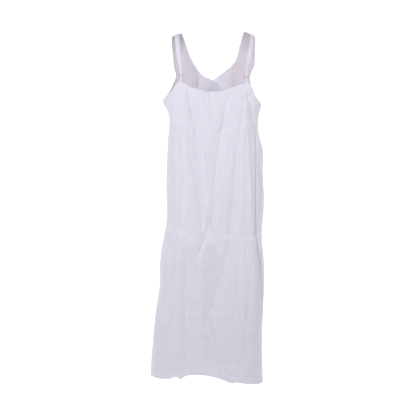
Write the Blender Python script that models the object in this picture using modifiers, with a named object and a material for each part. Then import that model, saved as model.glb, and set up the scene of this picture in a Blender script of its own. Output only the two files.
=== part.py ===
"""Maxi dress in thin woven cotton, modelled as hollow cloth panels in the shape they take when worn.

Metres, +Z up. The origin is midway between the tops of the two shoulder straps. The dress's back faces -Y
and its front faces +Y, so "left" (-X) and "right" (+X) are as seen from behind. Each panel is a grid laid
on the worn form, lifted into folds and gathers, and thickened inwards to the cloth's wall.
"""

from collections import namedtuple

import bmesh
import bpy
import numpy as np

# ---- Cloth
CLOTH = 0.0012  # wall of a single layer
TURNED = 0.0024  # wall where the edge is folded under twice
GAP = 0.0003  # between pieces that touch
SEAM = 0.0005  # between the lines that two panels meet along: their facets leave GAP of it or a little less
HEM_BAND = 0.025
CASING = 0.015  # turned edge along the top of the back
BACK_HEIGHT = 0.157  # of the back bodice, at its middle
LOWER_HEIGHT = 0.53  # of the skirt's lower tier

# ---- Worn form: half-widths to the left and right of the middle, depths to the back and front
Section = namedtuple("Section", "z left right back front")
SECTIONS = (
    Section(-0.085, 0.188, 0.190, 0.074, 0.092),
    Section(-0.170, 0.184, 0.186, 0.082, 0.104),
    Section(-0.225, 0.182, 0.183, 0.086, 0.114),
    Section(-0.265, 0.195, 0.182, 0.089, 0.120),
    Section(-0.281, 0.190, 0.188, 0.090, 0.121),
    Section(-0.300, 0.180, 0.184, 0.091, 0.120),
    Section(-0.325, 0.172, 0.178, 0.092, 0.117),
    Section(-0.355, 0.170, 0.176, 0.094, 0.111),
    Section(-0.400, 0.174, 0.180, 0.096, 0.106),
    Section(-0.450, 0.177, 0.193, 0.098, 0.105),
    Section(-0.540, 0.181, 0.194, 0.103, 0.105),
    Section(-0.650, 0.181, 0.198, 0.111, 0.108),
    Section(-0.715, 0.180, 0.195, 0.115, 0.110),
    Section(-0.780, 0.189, 0.190, 0.118, 0.112),
    Section(-0.870, 0.204, 0.197, 0.121, 0.115),
    Section(-0.980, 0.208, 0.199, 0.124, 0.118),
    Section(-1.070, 0.221, 0.195, 0.127, 0.121),
    Section(-1.200, 0.234, 0.191, 0.129, 0.124),
    Section(-1.360, 0.246, 0.195, 0.131, 0.127),
)
ROUNDNESS = 3.4  # exponent of the form's cross-section: 2 is an ellipse, more is squarer
STRAP_FOOT = -0.085  # above this level the form turns over the shoulder
STRAP_ARC = 0.116  # length of cloth from there to the top of the shoulder

# ---- Seam lines and edges: height at a share of the half-width, from -1 (left side) to 1 (right side)
Level = namedtuple("Level", "across z")
BACK_TOP = (
    Level(-1.0, -0.265),
    Level(-0.88, -0.248),
    Level(-0.83, -0.227),
    Level(-0.77, -0.211),
    Level(-0.68, -0.204),
    Level(-0.49, -0.2205),
    Level(-0.17, -0.237),
    Level(0.0, -0.240),
    Level(0.31, -0.229),
    Level(0.62, -0.209),
    Level(0.70, -0.2065),
    Level(0.80, -0.218),
    Level(0.92, -0.258),
    Level(1.0, -0.281),
)
BACK_EMPIRE = (
    Level(-1.0, -0.345),
    Level(-0.80, -0.357),
    Level(-0.43, -0.380),
    Level(0.0, -0.397),
    Level(0.51, -0.379),
    Level(0.75, -0.3635),
    Level(1.0, -0.345),
)
FRONT_EMPIRE = (
    Level(-1.0, -0.345),
    Level(-0.5, -0.370),
    Level(0.0, -0.382),
    Level(0.5, -0.370),
    Level(1.0, -0.345),
)
BACK_KNEE = (
    Level(-1.0, -0.7725),
    Level(-0.60, -0.781),
    Level(-0.30, -0.8065),
    Level(0.12, -0.8065),
    Level(0.34, -0.7935),
    Level(0.68, -0.7965),
    Level(1.0, -0.777),
)
FRONT_KNEE = (
    Level(-1.0, -0.7725),
    Level(-0.45, -0.793),
    Level(0.05, -0.800),
    Level(0.55, -0.795),
    Level(1.0, -0.777),
)
BACK_HEM = (
    Level(-1.0, -1.324),
    Level(-0.75, -1.328),
    Level(-0.49, -1.318),
    Level(-0.33, -1.311),
    Level(0.0, -1.317),
    Level(0.18, -1.328),
    Level(0.34, -1.338),
    Level(0.75, -1.348),
    Level(1.0, -1.350),
)
FRONT_HEM = (
    Level(-1.0, -1.324),
    Level(-0.62, -1.334),
    Level(-0.20, -1.327),
    Level(0.25, -1.341),
    Level(0.66, -1.338),
    Level(1.0, -1.350),
)
CENTRE_BACK = (
    Level(0.10, -0.808),
    Level(0.06, -1.00),
    Level(0.05, -1.05),
    Level(0.08, -1.20),
    Level(0.10, -1.35),
)

# ---- Front bodice panels: both edges of each, from the seam below the bust to the end of the strap.
# Places across are measured towards the side that the strap is on, and a height above STRAP_FOOT is a
# length of cloth over the shoulder. step is the share of the panel's length; the underarm is at UNDERARM.
Edges = namedtuple("Edges", "step outer_x outer_z inner_x inner_z")
UNDERARM = 0.25
LEFT_EDGES = (
    Edges(0.000, 0.1750, -0.345, -0.122, -0.3610),
    Edges(0.125, 0.1900, -0.303, -0.080, -0.296),
    Edges(0.250, 0.1970, -0.262, -0.040, -0.222),
    Edges(0.335, 0.1760, -0.226, 0.001, -0.170),
    Edges(0.411, 0.1595, -0.188, 0.0295, -0.157),
    Edges(0.487, 0.1487, -0.151, 0.0500, -0.139),
    Edges(0.544, 0.1545, -0.130, 0.0690, -0.113),
    Edges(0.639, 0.1585, -0.098, 0.0870, -0.085),
    Edges(0.753, 0.1615, -0.060, 0.1010, -0.054),
    Edges(0.867, 0.1635, -0.020, 0.1130, -0.018),
    Edges(1.000, 0.1600, 0.035, 0.1230, 0.035),
)
RIGHT_EDGES = (
    Edges(0.000, 0.1800, -0.345, -0.122, -0.3610),
    Edges(0.125, 0.1900, -0.312, -0.075, -0.280),
    Edges(0.250, 0.1890, -0.281, -0.035, -0.206),
    Edges(0.335, 0.1640, -0.226, 0.000, -0.1695),
    Edges(0.411, 0.1535, -0.186, 0.0287, -0.1485),
    Edges(0.487, 0.1510, -0.150, 0.0566, -0.126),
    Edges(0.544, 0.1625, -0.124, 0.0760, -0.110),
    Edges(0.639, 0.1675, -0.094, 0.0930, -0.085),
    Edges(0.753, 0.1680, -0.060, 0.1040, -0.054),
    Edges(0.867, 0.1670, -0.020, 0.1140, -0.018),
    Edges(1.000, 0.1650, 0.035, 0.1225, 0.035),
)
SEAM_REACH = 0.30  # share of a front panel's length over which its rows bend to the seam below the bust
WRAP_DEPTH = 0.0045  # how far the under panel lies inside the over panel
WRAP_FADE = 0.032

# top and slope are the height of the strap's inner edge at the shoulder and its fall towards the arm;
# facing_x and facing_lean are the facing's inner edge at FACING_MARK and its lean
Side = namedtuple("Side", "name other sign edges top slope facing_x facing_lean")
LEFT = Side("left", "right", -1, LEFT_EDGES, -0.001, 0.34, 0.0690, 0.345)
RIGHT = Side("right", "left", 1, RIGHT_EDGES, 0.006, 0.49, 0.0760, 0.297)
STRAP_INNER = 0.123  # distance of a strap's inner edge from the middle, at the shoulder
FACING_MARK = -0.133
FACING_INSET = 0.0025
FACING_GAP = 0.0008  # on the strap
FACING_STAND = 0.0045  # further from the panel at its lower end, where only its arm edge is sewn down
STAND_AT_ARM = 0.4  # share of FACING_STAND that is left at the arm edge
STAND_LENGTH = 0.9  # share of the facing's length over which it comes to lie on the panel
FACING_OUTER = 0.05  # share of each row of the panel that is left bare along the arm edge

# ---- Folds: a soft ridge (lift > 0) or trough (lift < 0) along three points
Fold = namedtuple("Fold", "top_x top_z mid_x mid_z low_x low_z width lift")
BACK_FOLDS = (
    Fold(-0.094, -0.241, -0.069, -0.394, -0.057, -0.546, 0.016, -0.0044),
    Fold(-0.110, -0.379, -0.072, -0.622, -0.052, -0.826, 0.024, -0.0063),
    Fold(0.017, -0.398, 0.000, -0.554, -0.010, -0.728, 0.015, -0.0050),
    Fold(-0.003, -0.745, -0.020, -0.765, -0.038, -0.786, 0.013, -0.0037),
    Fold(0.057, -0.250, 0.036, -0.391, 0.007, -0.531, 0.013, -0.0037),
    Fold(0.107, -0.379, 0.078, -0.625, 0.024, -0.972, 0.016, -0.0056),
    Fold(0.140, -0.300, 0.166, -0.650, 0.186, -1.160, 0.009, -0.0106),
    Fold(0.118, -0.300, 0.143, -0.650, 0.163, -1.160, 0.018, 0.0081),
    Fold(-0.110, -0.379, -0.110, -0.811, -0.085, -0.987, 0.024, 0.0056),
    Fold(0.112, -0.364, 0.109, -0.622, 0.099, -0.777, 0.018, 0.0044),
    Fold(-0.048, -0.311, -0.031, -0.518, -0.017, -0.622, 0.016, 0.0037),
    Fold(-0.148, -0.420, -0.152, -0.560, -0.146, -0.720, 0.014, -0.0050),
    Fold(0.132, -0.814, 0.118, -0.900, 0.108, -0.987, 0.022, 0.0050),
    Fold(-0.119, -0.886, -0.116, -1.028, -0.125, -1.290, 0.020, -0.0081),
    Fold(0.136, -0.972, 0.123, -1.107, 0.114, -1.300, 0.020, -0.0075),
    Fold(0.018, -1.050, -0.012, -1.098, -0.038, -1.141, 0.014, -0.0050),
    Fold(-0.085, -1.005, -0.062, -1.040, -0.040, -1.073, 0.013, -0.0044),
    Fold(0.167, -1.178, 0.142, -1.230, 0.110, -1.290, 0.014, -0.0050),
    Fold(0.030, -1.190, 0.050, -1.225, 0.072, -1.300, 0.015, -0.0050),
    Fold(-0.156, -1.047, -0.174, -1.085, -0.205, -1.170, 0.016, -0.0056),
)
FRONT_FOLDS = (
    Fold(-0.118, -0.185, -0.098, -0.280, -0.074, -0.368, 0.022, -0.0044),
    Fold(-0.150, -0.245, -0.136, -0.300, -0.118, -0.362, 0.018, 0.0037),
    Fold(-0.072, -0.160, -0.046, -0.270, -0.022, -0.370, 0.022, 0.0037),
    Fold(0.112, -0.175, 0.092, -0.280, 0.066, -0.368, 0.022, -0.0044),
    Fold(0.146, -0.250, 0.134, -0.305, 0.120, -0.362, 0.018, 0.0037),
    Fold(-0.128, -0.420, -0.134, -0.640, -0.150, -0.900, 0.016, -0.0063),
    Fold(-0.086, -0.380, -0.079, -0.600, -0.062, -0.830, 0.022, -0.0063),
    Fold(-0.050, -0.390, -0.041, -0.560, -0.020, -0.760, 0.018, 0.0050),
    Fold(-0.012, -0.395, 0.002, -0.600, 0.012, -0.900, 0.017, -0.0056),
    Fold(0.044, -0.385, 0.052, -0.620, 0.040, -0.860, 0.020, 0.0056),
    Fold(0.082, -0.380, 0.092, -0.560, 0.110, -0.780, 0.016, -0.0063),
    Fold(0.140, -0.420, 0.148, -0.600, 0.150, -0.800, 0.014, -0.0056),
    Fold(-0.172, -0.830, -0.180, -1.010, -0.196, -1.290, 0.018, -0.0075),
    Fold(-0.110, -0.820, -0.104, -1.060, -0.118, -1.300, 0.024, 0.0069),
    Fold(-0.056, -0.850, -0.050, -1.060, -0.066, -1.300, 0.018, -0.0075),
    Fold(0.000, -0.860, -0.006, -1.080, 0.010, -1.300, 0.022, 0.0063),
    Fold(0.058, -0.840, 0.066, -1.040, 0.058, -1.310, 0.018, -0.0075),
    Fold(0.116, -0.830, 0.120, -1.060, 0.112, -1.320, 0.022, 0.0063),
    Fold(0.158, -0.860, 0.160, -1.060, 0.156, -1.320, 0.014, -0.0063),
)
FOLD_FADE = 0.060  # length over which a fold rises from nothing at each end
SIDE_FADE = 0.10  # share of the half-width over which folds die out at a side seam

# ---- Gathers drawn up below a seam or edge: every other column of the panel stands out, as unevenly as
# hand-drawn gathers do, and the ridges die away downwards. first and last are shares of the half-width.
Gathers = namedtuple("Gathers", "line first last lift reach")
BACK_GATHERS = (
    Gathers(BACK_TOP, -0.60, 0.56, 0.0016, 0.050),
    Gathers(BACK_EMPIRE, -0.90, 0.90, 0.0022, 0.075),
    Gathers(BACK_KNEE, -0.84, 0.84, 0.0020, 0.055),
)
FRONT_GATHERS = (
    Gathers(FRONT_EMPIRE, -0.90, 0.90, 0.0022, 0.075),
    Gathers(FRONT_KNEE, -0.84, 0.84, 0.0020, 0.055),
)
UNEVEN_HEIGHT = 0.35  # share by which the ridges' heights differ along a gathered stretch
UNEVEN_REACH = 0.45
STITCHED_FLAT = 0.010  # a gather rises from nothing over this distance from its stitching
GATHER_END = 0.10  # share of a gathered stretch over which it starts and stops

# ---- Narrow straps, rings and loops at the back: where each strap's middle runs, and its ring's height
STRAP_WALL = 0.0012
RING_RADIUS = 0.0066
RING_WIRE = 0.0008
RING_OUT = -0.0037  # the ring hangs this far inside the outer face of the back
STRAP_AT_RING = 0.0090  # width of strap and loop where they pass through the ring
STRIP_CLEARS = 1.5 * GAP  # between the wire and the strip round it
STRAP_MIDWAY = -0.070  # height at which a strap's mid_x is given
STRAP_LIES = 3 * GAP  # on the end of the wide strap, which curves a little more than it does
STRAP_SEWN = 0.012  # length of each narrow strap lying on the end of the wide one
STRAP_FALL = 0.1  # slope of that end
STRAP_NARROWS = 1 / 8  # share of the strap's height over which it draws in to the ring
Leg = namedtuple("Leg", "up inner outer")
STRAP_LEGS = (  # both legs of the strap above the ring: up from its upper wire, and out from it
    Leg(0.020, -0.0010, 0.0010),
    Leg(0.012, -0.0011, 0.0011),
    Leg(0.006, -0.0014, 0.0014),
)
LOOP_WIDTH = 0.0125
LOOP_LEGS = (  # both legs of the loop below the ring: up from the back's top edge, and out from the wire
    Leg(-0.012, -0.0004, 0.0015),
    Leg(0.000, -0.0006, 0.0015),
    Leg(0.006, -0.0016, 0.0014),
)
Narrow = namedtuple("Narrow", "side top_x mid_x low_x width ring_z")
NARROW_STRAPS = (
    Narrow(LEFT, 0.1412, 0.1350, 0.1232, 0.0160, -0.1767),
    Narrow(RIGHT, 0.1530, 0.1440, 0.1280, 0.0140, -0.1830),
)

# ---- Finishes
COTTON = (0.84, 0.83, 0.88)
FACING_COTTON = (0.74, 0.70, 0.74)
NICKEL = (0.55, 0.54, 0.55)

# ---- Grids: columns across, and the heights of the rows as shares of the panel, close below each seam
BODICE_COLUMNS = 40
BODICE_ROWS = (0.0, 0.17, 0.34, 0.50, 0.64, 0.75, 0.83, 1 - CASING / BACK_HEIGHT, 1.0)
SKIRT_COLUMNS = 40
UPPER_ROWS = (0.0, 0.11, 0.22, 0.34, 0.46, 0.58, 0.70, 0.80, 0.88, 0.94, 0.975, 1.0)
LOWER_ROWS = (0.0, HEM_BAND / LOWER_HEIGHT, 0.14, 0.25, 0.36, 0.47, 0.58, 0.69, 0.79, 0.87, 0.93, 0.975, 1.0)
HEM_SHARES = (0, LOWER_ROWS[1])
SEAM_TURN = SEAM / 2 / SECTIONS[-1].right  # half the centre back seam's gap, as a turn
CROSSOVER_COLUMNS = 16
CROSSOVER_ROWS = tuple(np.linspace(0, 1, 21))
FACING_COLUMNS = 4
FACING_ROWS = tuple(np.linspace(0, 1, 16))
RIBBON_COLUMNS = 4
WRAP_STEPS = 7  # points round the ring's wire
STRAP_STEPS = 12  # points from the ring up to the shoulder


def clear_scene():
    for item in list(bpy.data.objects):
        bpy.data.objects.remove(item, do_unlink=True)


def finish_of(name, colour, roughness, metallic=0.0):
    """A Principled material in one plain colour."""
    material = bpy.data.materials.new(name)
    material.use_nodes = True
    shader = material.node_tree.nodes["Principled BSDF"]
    shader.inputs["Base Color"].default_value = (*colour, 1.0)
    shader.inputs["Roughness"].default_value = roughness
    shader.inputs["Metallic"].default_value = metallic
    return material


def through(at, knots, values):
    """Smooth curve through the knots: cubic between neighbours, its slope there their mean slope."""
    knots = np.asarray(knots, float)
    values = np.asarray(values, float)
    order = np.argsort(knots)
    knots = knots[order]
    values = values[order]
    steps = np.diff(knots)
    rises = np.diff(values) / steps
    slopes = np.concatenate([rises[:1], (rises[:-1] + rises[1:]) / 2, rises[-1:]])
    at = np.clip(at, knots[0], knots[-1])
    i = np.clip(np.searchsorted(knots, at, side="right") - 1, 0, len(steps) - 1)
    t = (at - knots[i]) / steps[i]
    from_start = values[i] + t * steps[i] * slopes[i]
    from_end = values[i + 1] - (1 - t) * steps[i] * slopes[i + 1]
    ease = t * t * (3 - 2 * t)
    return from_start * (1 - ease) + from_end * ease


def column(rows, name):
    return [getattr(row, name) for row in rows]


def level(line, across):
    """Height of a seam line or edge at a share of the half-width."""
    return through(across, column(line, "across"), column(line, "z"))


def size_at(z, name):
    return through(z, column(SECTIONS, "z"), column(SECTIONS, name))


def rise(t):
    """0 to 1 as t goes from 0 to 1, level at both ends."""
    t = np.clip(t, 0, 1)
    return t * t * (3 - 2 * t)


def on_form(turn, z, facing):
    """Point of the worn form: turn runs from -1 (left side) to 1 (right side), facing is -1 back, 1 front."""
    across = np.sin(np.clip(turn, -1, 1) * np.pi / 2)
    half_width = np.where(across < 0, size_at(z, "left"), size_at(z, "right"))
    depth = size_at(z, "back" if facing < 0 else "front")
    bulge = np.clip(1 - np.abs(across) ** ROUNDNESS, 0, 1) ** (1 / ROUNDNESS)
    return np.stack([half_width * across, facing * depth * bulge, z], axis=-1)


def over_shoulder(turn, length, side):
    """Point of a front panel: on the form up to STRAP_FOOT, then a quarter of an ellipse over the shoulder."""
    point = on_form(turn, np.minimum(length, STRAP_FOOT), 1)
    angle = np.maximum(length - STRAP_FOOT, 0) / STRAP_ARC * np.pi / 2
    point[..., 1] *= np.cos(angle)
    point[..., 2] += (shoulder_height(point[..., 0], side) - STRAP_FOOT) * np.sin(angle)
    return point


def shoulder_height(x, side):
    return side.top - side.slope * (np.abs(x) - STRAP_INNER)


def turn_of(x, z, side):
    """Turn of a place across, measured towards the side's own hand."""
    z = np.minimum(z, STRAP_FOOT)
    half_width = np.where(x < 0, size_at(z, side.other), size_at(z, side.name))
    return np.arcsin(np.clip(x / half_width, -1, 1)) * 2 / np.pi


def edge_at(side, v, name):
    """Turn and height of a front panel's outer or inner edge at a share of its length."""
    steps = column(side.edges, "step")
    x = np.array(column(side.edges, name + "_x"))
    z = np.array(column(side.edges, name + "_z"))
    return through(v, steps, turn_of(x, z, side)), through(v, steps, z)


def crossover(side):
    """place(u, v) for a front panel: rows run straight from its outer edge to its inner edge."""

    def place(u, v):
        share = u if side.sign > 0 else 1 - u
        outer_turn, outer_z = edge_at(side, v, "outer")
        inner_turn, inner_z = edge_at(side, v, "inner")
        turn = np.minimum(outer_turn, 1) * (1 - share) + inner_turn * share
        z = outer_z * (1 - share) + inner_z * share
        seam = level(FRONT_EMPIRE, np.sin(turn * side.sign * np.pi / 2)) + SEAM / 2
        straight = side.edges[0].outer_z * (1 - share) + side.edges[0].inner_z * share
        z = z + (seam - straight) * rise(1 - v / SEAM_REACH)
        point = over_shoulder(turn * side.sign, z, side)
        point[..., 1] += SEAM / 2
        return point

    return place


def wrap_lift(points):
    """Inward step of the right front panel where the left one lies over it."""
    x = points[..., 0]
    edge = -through(points[..., 2], column(LEFT_EDGES, "inner_z"), column(LEFT_EDGES, "inner_x"))
    return -WRAP_DEPTH * rise((edge + WRAP_FADE - x) / WRAP_FADE)


def facing_share(side, v):
    """Share of each row, from the outer edge, at which the facing's inner edge lies."""
    steps = column(side.edges, "step")
    outer_x, outer_z, inner_x, inner_z = (
        through(v, steps, column(side.edges, name)) for name in Edges._fields[1:]
    )
    start = side.facing_x + side.facing_lean * (outer_z - FACING_MARK) - outer_x
    width = inner_x - outer_x
    share = start / (width - side.facing_lean * (inner_z - outer_z))
    return np.minimum(share, 1 - FACING_INSET / np.abs(width))


def fold_lift(x, z, folds):
    """Sum of the folds: each is a bell across its line and fades at its two ends."""
    lift = np.zeros_like(x)
    for fold in folds:
        heights = (fold.top_z, fold.mid_z, fold.low_z)
        middle = through(z, heights, (fold.top_x, fold.mid_x, fold.low_x))
        lean = np.abs(fold.top_x - fold.low_x) / (fold.top_z - fold.low_z)
        bell = np.exp(-(((x - middle) / (fold.width * np.hypot(1, lean))) ** 2))
        fade = min(FOLD_FADE, (fold.top_z - fold.low_z) / 2)
        ends = rise((fold.top_z + fade / 2 - z) / fade) * rise((z - fold.low_z + fade / 2) / fade)
        lift += fold.lift * bell * ends
    return lift


def gather_lift(across, z, columns_in, gathers):
    """Sum of the gathers: ridges on every other column, uneven in height and reach, flat at the stitching."""
    lift = np.zeros_like(z)
    for band in gathers:
        distance = level(band.line, across) - z
        share = (across - band.first) / (band.last - band.first)
        wave = np.cos(np.pi * columns_in) * (1 + UNEVEN_HEIGHT * np.sin(8.1 * share * np.pi))
        reach = band.reach * (1 + UNEVEN_REACH * np.sin(9.3 * share * np.pi + 0.6))
        inside = rise(share / GATHER_END) * rise((1 - share) / GATHER_END)
        fade = np.exp(-np.clip(distance, 0, None) / reach) * (distance > 0)
        lift += band.lift * wave * inside * rise(distance / STITCHED_FLAT) * fade
    return lift


def cloth_lift(point, facing, columns_in=None):
    """How far the cloth stands off the worn form. columns_in counts columns from the panel's left edge."""
    x = point[..., 0]
    z = point[..., 2]
    half_width = np.where(x < 0, size_at(z, "left"), size_at(z, "right"))
    across = np.clip(x / half_width, -1, 1)
    folds, gathers = (BACK_FOLDS, BACK_GATHERS) if facing < 0 else (FRONT_FOLDS, FRONT_GATHERS)
    lift = fold_lift(x, z, folds)
    if columns_in is not None:
        lift = lift + gather_lift(across, z, columns_in, gathers)
    return rise((1 - np.abs(across)) / SIDE_FADE) * lift


def outward(place, u, v):
    """Unit normals of the surface place(u, v), from small steps along u and v."""
    step = 1e-4
    along = place(np.clip(u + step, 0, 1), v) - place(np.clip(u - step, 0, 1), v)
    up = place(u, np.clip(v + step, 0, 1)) - place(u, np.clip(v - step, 0, 1))
    normal = np.cross(along, up)
    return normal / np.linalg.norm(normal, axis=-1, keepdims=True)


def laid_grid(name, columns, rows, place, material, wall, offset):
    """A grid with its points at place(u, v), v taking the shares in rows, and a wall added by Solidify."""
    shape = bmesh.new()
    bmesh.ops.create_grid(shape, x_segments=columns, y_segments=len(rows) - 1, size=0.5)
    mesh = bpy.data.meshes.new(name)
    shape.to_mesh(mesh)
    shape.free()
    flat = np.empty(len(mesh.vertices) * 3, np.float32)
    mesh.vertices.foreach_get("co", flat)
    u = flat[0::3].astype(float) + 0.5
    v = np.asarray(rows)[np.rint((flat[1::3] + 0.5) * (len(rows) - 1)).astype(int)]
    mesh.vertices.foreach_set("co", place(u, v).astype(np.float32).ravel())
    mesh.materials.append(material)
    mesh.shade_smooth()
    piece = bpy.data.objects.new(name, mesh)
    bpy.data.collections["maxi_dress"].objects.link(piece)
    solid = piece.modifiers.new("wall", "SOLIDIFY")
    solid.thickness = wall
    solid.offset = offset
    return piece, u, v


def cloth_panel(name, columns, rows, place, lift, material, turned=None):
    """A panel on place(u, v), moved out by lift(points, u, v) and given its wall inwards.

    turned is the (lowest, highest) share of the height where the cloth is folded double.
    """

    def lifted(u, v):
        points = place(u, v)
        return points + outward(place, u, v) * lift(points, u, v)[:, None]

    wall = CLOTH if turned is None else TURNED
    piece, _u, v = laid_grid(name, columns, rows, lifted, material, wall, -1)
    if turned is not None:
        folded = (v >= turned[0]) & (v <= turned[1])
        group = piece.vertex_groups.new(name="turned")
        group.add(np.flatnonzero(folded).tolist(), 1.0, "REPLACE")
        group.add(np.flatnonzero(~folded).tolist(), CLOTH / TURNED, "REPLACE")
        piece.modifiers["wall"].vertex_group = "turned"


def between(facing, low_line, high_line, start=None, end=None):
    """place(u, v) for a panel between two lines, running round the form from its left seam as seen.

    start and end, where given, are the turns by which its edge stays clear of the centre back seam. That seam
    leans, so where it crosses a row depends on the row's height there, which the second pass settles.
    """

    def place(u, v):
        share = u if facing < 0 else 1 - u
        turn = 2 * share - 1
        for _ in range(2):
            across = np.sin(turn * np.pi / 2)
            low = level(low_line, across) + SEAM / 2
            high = level(high_line, across) - SEAM / 2
            z = low + (high - low) * v
            first = -1 if start is None else 2 / np.pi * np.arcsin(seam_across(z)) + start
            last = 1 if end is None else 2 / np.pi * np.arcsin(seam_across(z)) - end
            turn = first + (last - first) * share
        point = on_form(turn, z, facing)
        point[..., 1] += facing * SEAM / 2
        return point

    return place


def seam_across(z):
    return through(z, column(CENTRE_BACK, "z"), column(CENTRE_BACK, "across"))


def lift_over(facing, columns):
    def lift(points, u, _v):
        return cloth_lift(points, facing, u * columns)

    return lift


def make_back(material):
    bodice = between(-1, BACK_EMPIRE, BACK_TOP)
    lift = lift_over(-1, BODICE_COLUMNS)
    casing = (BODICE_ROWS[-2], 1)
    cloth_panel("back_bodice", BODICE_COLUMNS, BODICE_ROWS, bodice, lift, material, turned=casing)
    upper = between(-1, BACK_KNEE, BACK_EMPIRE)
    lift = lift_over(-1, SKIRT_COLUMNS)
    cloth_panel("back_skirt_upper", SKIRT_COLUMNS, UPPER_ROWS, upper, lift, material)
    columns = SKIRT_COLUMNS // 2
    lift = lift_over(-1, columns)
    for name, start, end in (("left", None, SEAM_TURN), ("right", SEAM_TURN, None)):
        lower = between(-1, BACK_HEM, BACK_KNEE, start, end)
        cloth_panel("back_skirt_lower_" + name, columns, LOWER_ROWS, lower, lift, material, turned=HEM_SHARES)


def make_front_skirt(material):
    lift = lift_over(1, SKIRT_COLUMNS)
    upper = between(1, FRONT_KNEE, FRONT_EMPIRE)
    cloth_panel("front_skirt_upper", SKIRT_COLUMNS, UPPER_ROWS, upper, lift, material)
    lower = between(1, FRONT_HEM, FRONT_KNEE)
    cloth_panel("front_skirt_lower", SKIRT_COLUMNS, LOWER_ROWS, lower, lift, material, turned=HEM_SHARES)


def front_lift(side):
    """lift(points, u, v) for a front panel: folds and gathers, and the wrap's step on the under panel."""

    def lift(points, _u, _v):
        step = wrap_lift(points) if side is RIGHT else 0.0
        return cloth_lift(points, 1) + step

    return lift


def make_front_bodice(material):
    for side in (LEFT, RIGHT):
        name = "front_bodice_" + side.name
        panel = crossover(side)
        cloth_panel(name, CROSSOVER_COLUMNS, CROSSOVER_ROWS, panel, front_lift(side), material)


def make_facings(material):
    for side in (LEFT, RIGHT):
        panel = crossover(side)
        lift = front_lift(side)

        def place(u, v, side=side, panel=panel):
            share = u if side.sign > 0 else 1 - u
            up = UNDERARM + (1 - UNDERARM) * v
            share = FACING_OUTER + (facing_share(side, up) - FACING_OUTER) * share
            return panel(share if side.sign > 0 else 1 - share, up)

        def inside(points, u, v, side=side, lift=lift):
            share = u if side.sign > 0 else 1 - u
            stand = FACING_STAND * (STAND_AT_ARM + (1 - STAND_AT_ARM) * share)
            stand = stand * (1 - rise(v / STAND_LENGTH))
            return lift(points, u, v) - CLOTH - FACING_GAP - stand

        cloth_panel("strap_facing_" + side.name, FACING_COLUMNS, FACING_ROWS, place, inside, material)


def bar_height(across):
    """Height of the ring's wire above the ring's middle at a distance across it."""
    return np.sqrt(RING_RADIUS**2 - across**2)


def ring_place(strap):
    """The ring's middle, the direction across it (away from the body's middle) and the direction outwards."""
    side = strap.side
    turn = turn_of(strap.low_x, strap.ring_z, side) * side.sign
    edge = on_form(turn, np.array(strap.ring_z), -1)
    nearby = on_form(turn + side.sign * 0.02, np.array(strap.ring_z), -1)
    across = (nearby - edge) / np.linalg.norm(nearby - edge)
    out = np.cross(across, [0, 0, side.sign])
    return edge + out * RING_OUT, across, out


def round_the_wire(legs_above):
    """Middle line of a strip round the ring's wire, as (out, up) from the wire's own middle."""
    clear = RING_WIRE + STRIP_CLEARS + STRAP_WALL / 2
    angle = np.linspace(np.pi, 2 * np.pi, WRAP_STEPS) if legs_above else np.linspace(np.pi, 0, WRAP_STEPS)
    return clear * np.cos(angle), clear * np.sin(angle)


def ribbon(name, strap, rows_of, material):
    """A strip whose rows are lines across it; near the ring they follow the curve of its wire.

    rows_of holds, for each row, its middle, direction and width, how much of the wire's curve it takes (1
    above the ring's middle, -1 below it, 0 away from it) and its height from the wire's own middle.
    """
    middles, directions, widths, ups, clears = rows_of
    shares = np.linspace(0, 1, len(middles))

    def place(u, v):
        row = np.rint(v * (len(middles) - 1)).astype(int)
        across = (u - 0.5) * strap.side.sign * widths[row]
        wire = bar_height(np.clip(across, -STRAP_AT_RING / 2, STRAP_AT_RING / 2))
        points = middles[row] + across[:, None] * directions[row]
        points[:, 2] -= ups[row] * (RING_RADIUS - wire)
        points[:, 2] += clears[row] * (RING_RADIUS / wire - 1)
        return points

    laid_grid(name, RIBBON_COLUMNS, shares, place, material, STRAP_WALL, 0)


def unit(vectors):
    return vectors / np.linalg.norm(vectors, axis=-1, keepdims=True)


def make_narrow_strap(strap, material):
    """From its sewn end on top of the wide strap, down the back, round the ring and a little way up again."""
    side = strap.side
    centre, across, out = ring_place(strap)
    wrap_out, wrap_up = round_the_wire(legs_above=True)
    leg_up = np.array(column(STRAP_LEGS, "up"))
    low_out = np.concatenate([column(STRAP_LEGS, "inner"), wrap_out, column(STRAP_LEGS, "outer")[::-1]])
    low_up = np.concatenate([leg_up, wrap_up, leg_up[::-1]])
    low = centre + low_out[:, None] * out + (low_up + RING_RADIUS)[:, None] * [0, 0, 1]

    foot = low[-1]
    angle = np.linspace(np.pi / 2, 0, STRAP_STEPS + 1)[1:]
    top_z = shoulder_height(strap.top_x, side) + STRAP_WALL / 2 + STRAP_LIES
    z = top_z - (top_z - foot[2]) * (1 - np.cos(angle))
    x = side.sign * through(z, (foot[2], STRAP_MIDWAY, top_z), (strap.low_x, strap.mid_x, strap.top_x))
    high = np.stack([x, foot[1] * np.sin(angle), z], axis=-1)
    sewn = high[-1] + [[0, STRAP_SEWN, -STRAP_SEWN * STRAP_FALL]]
    middles = np.concatenate([low, high, sewn])

    up_share = rise((middles[:, 2] - foot[2]) / (top_z - foot[2]))
    up_share[: len(leg_up) + WRAP_STEPS] = 0
    slope = unit(np.array([side.sign, 0, -side.slope]))
    directions = unit(across * (1 - up_share[:, None]) + slope * up_share[:, None])
    widths = STRAP_AT_RING + (strap.width - STRAP_AT_RING) * rise(up_share / STRAP_NARROWS)
    ups = np.zeros(len(middles))
    ups[2 : len(leg_up) + WRAP_STEPS + 1] = 0.5
    ups[3 : len(leg_up) + WRAP_STEPS] = 1.0
    clears = np.zeros(len(middles))
    clears[3 : len(leg_up) + WRAP_STEPS] = wrap_up
    ribbon("back_strap_" + side.name, strap, (middles, directions, widths, ups, clears), material)


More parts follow.
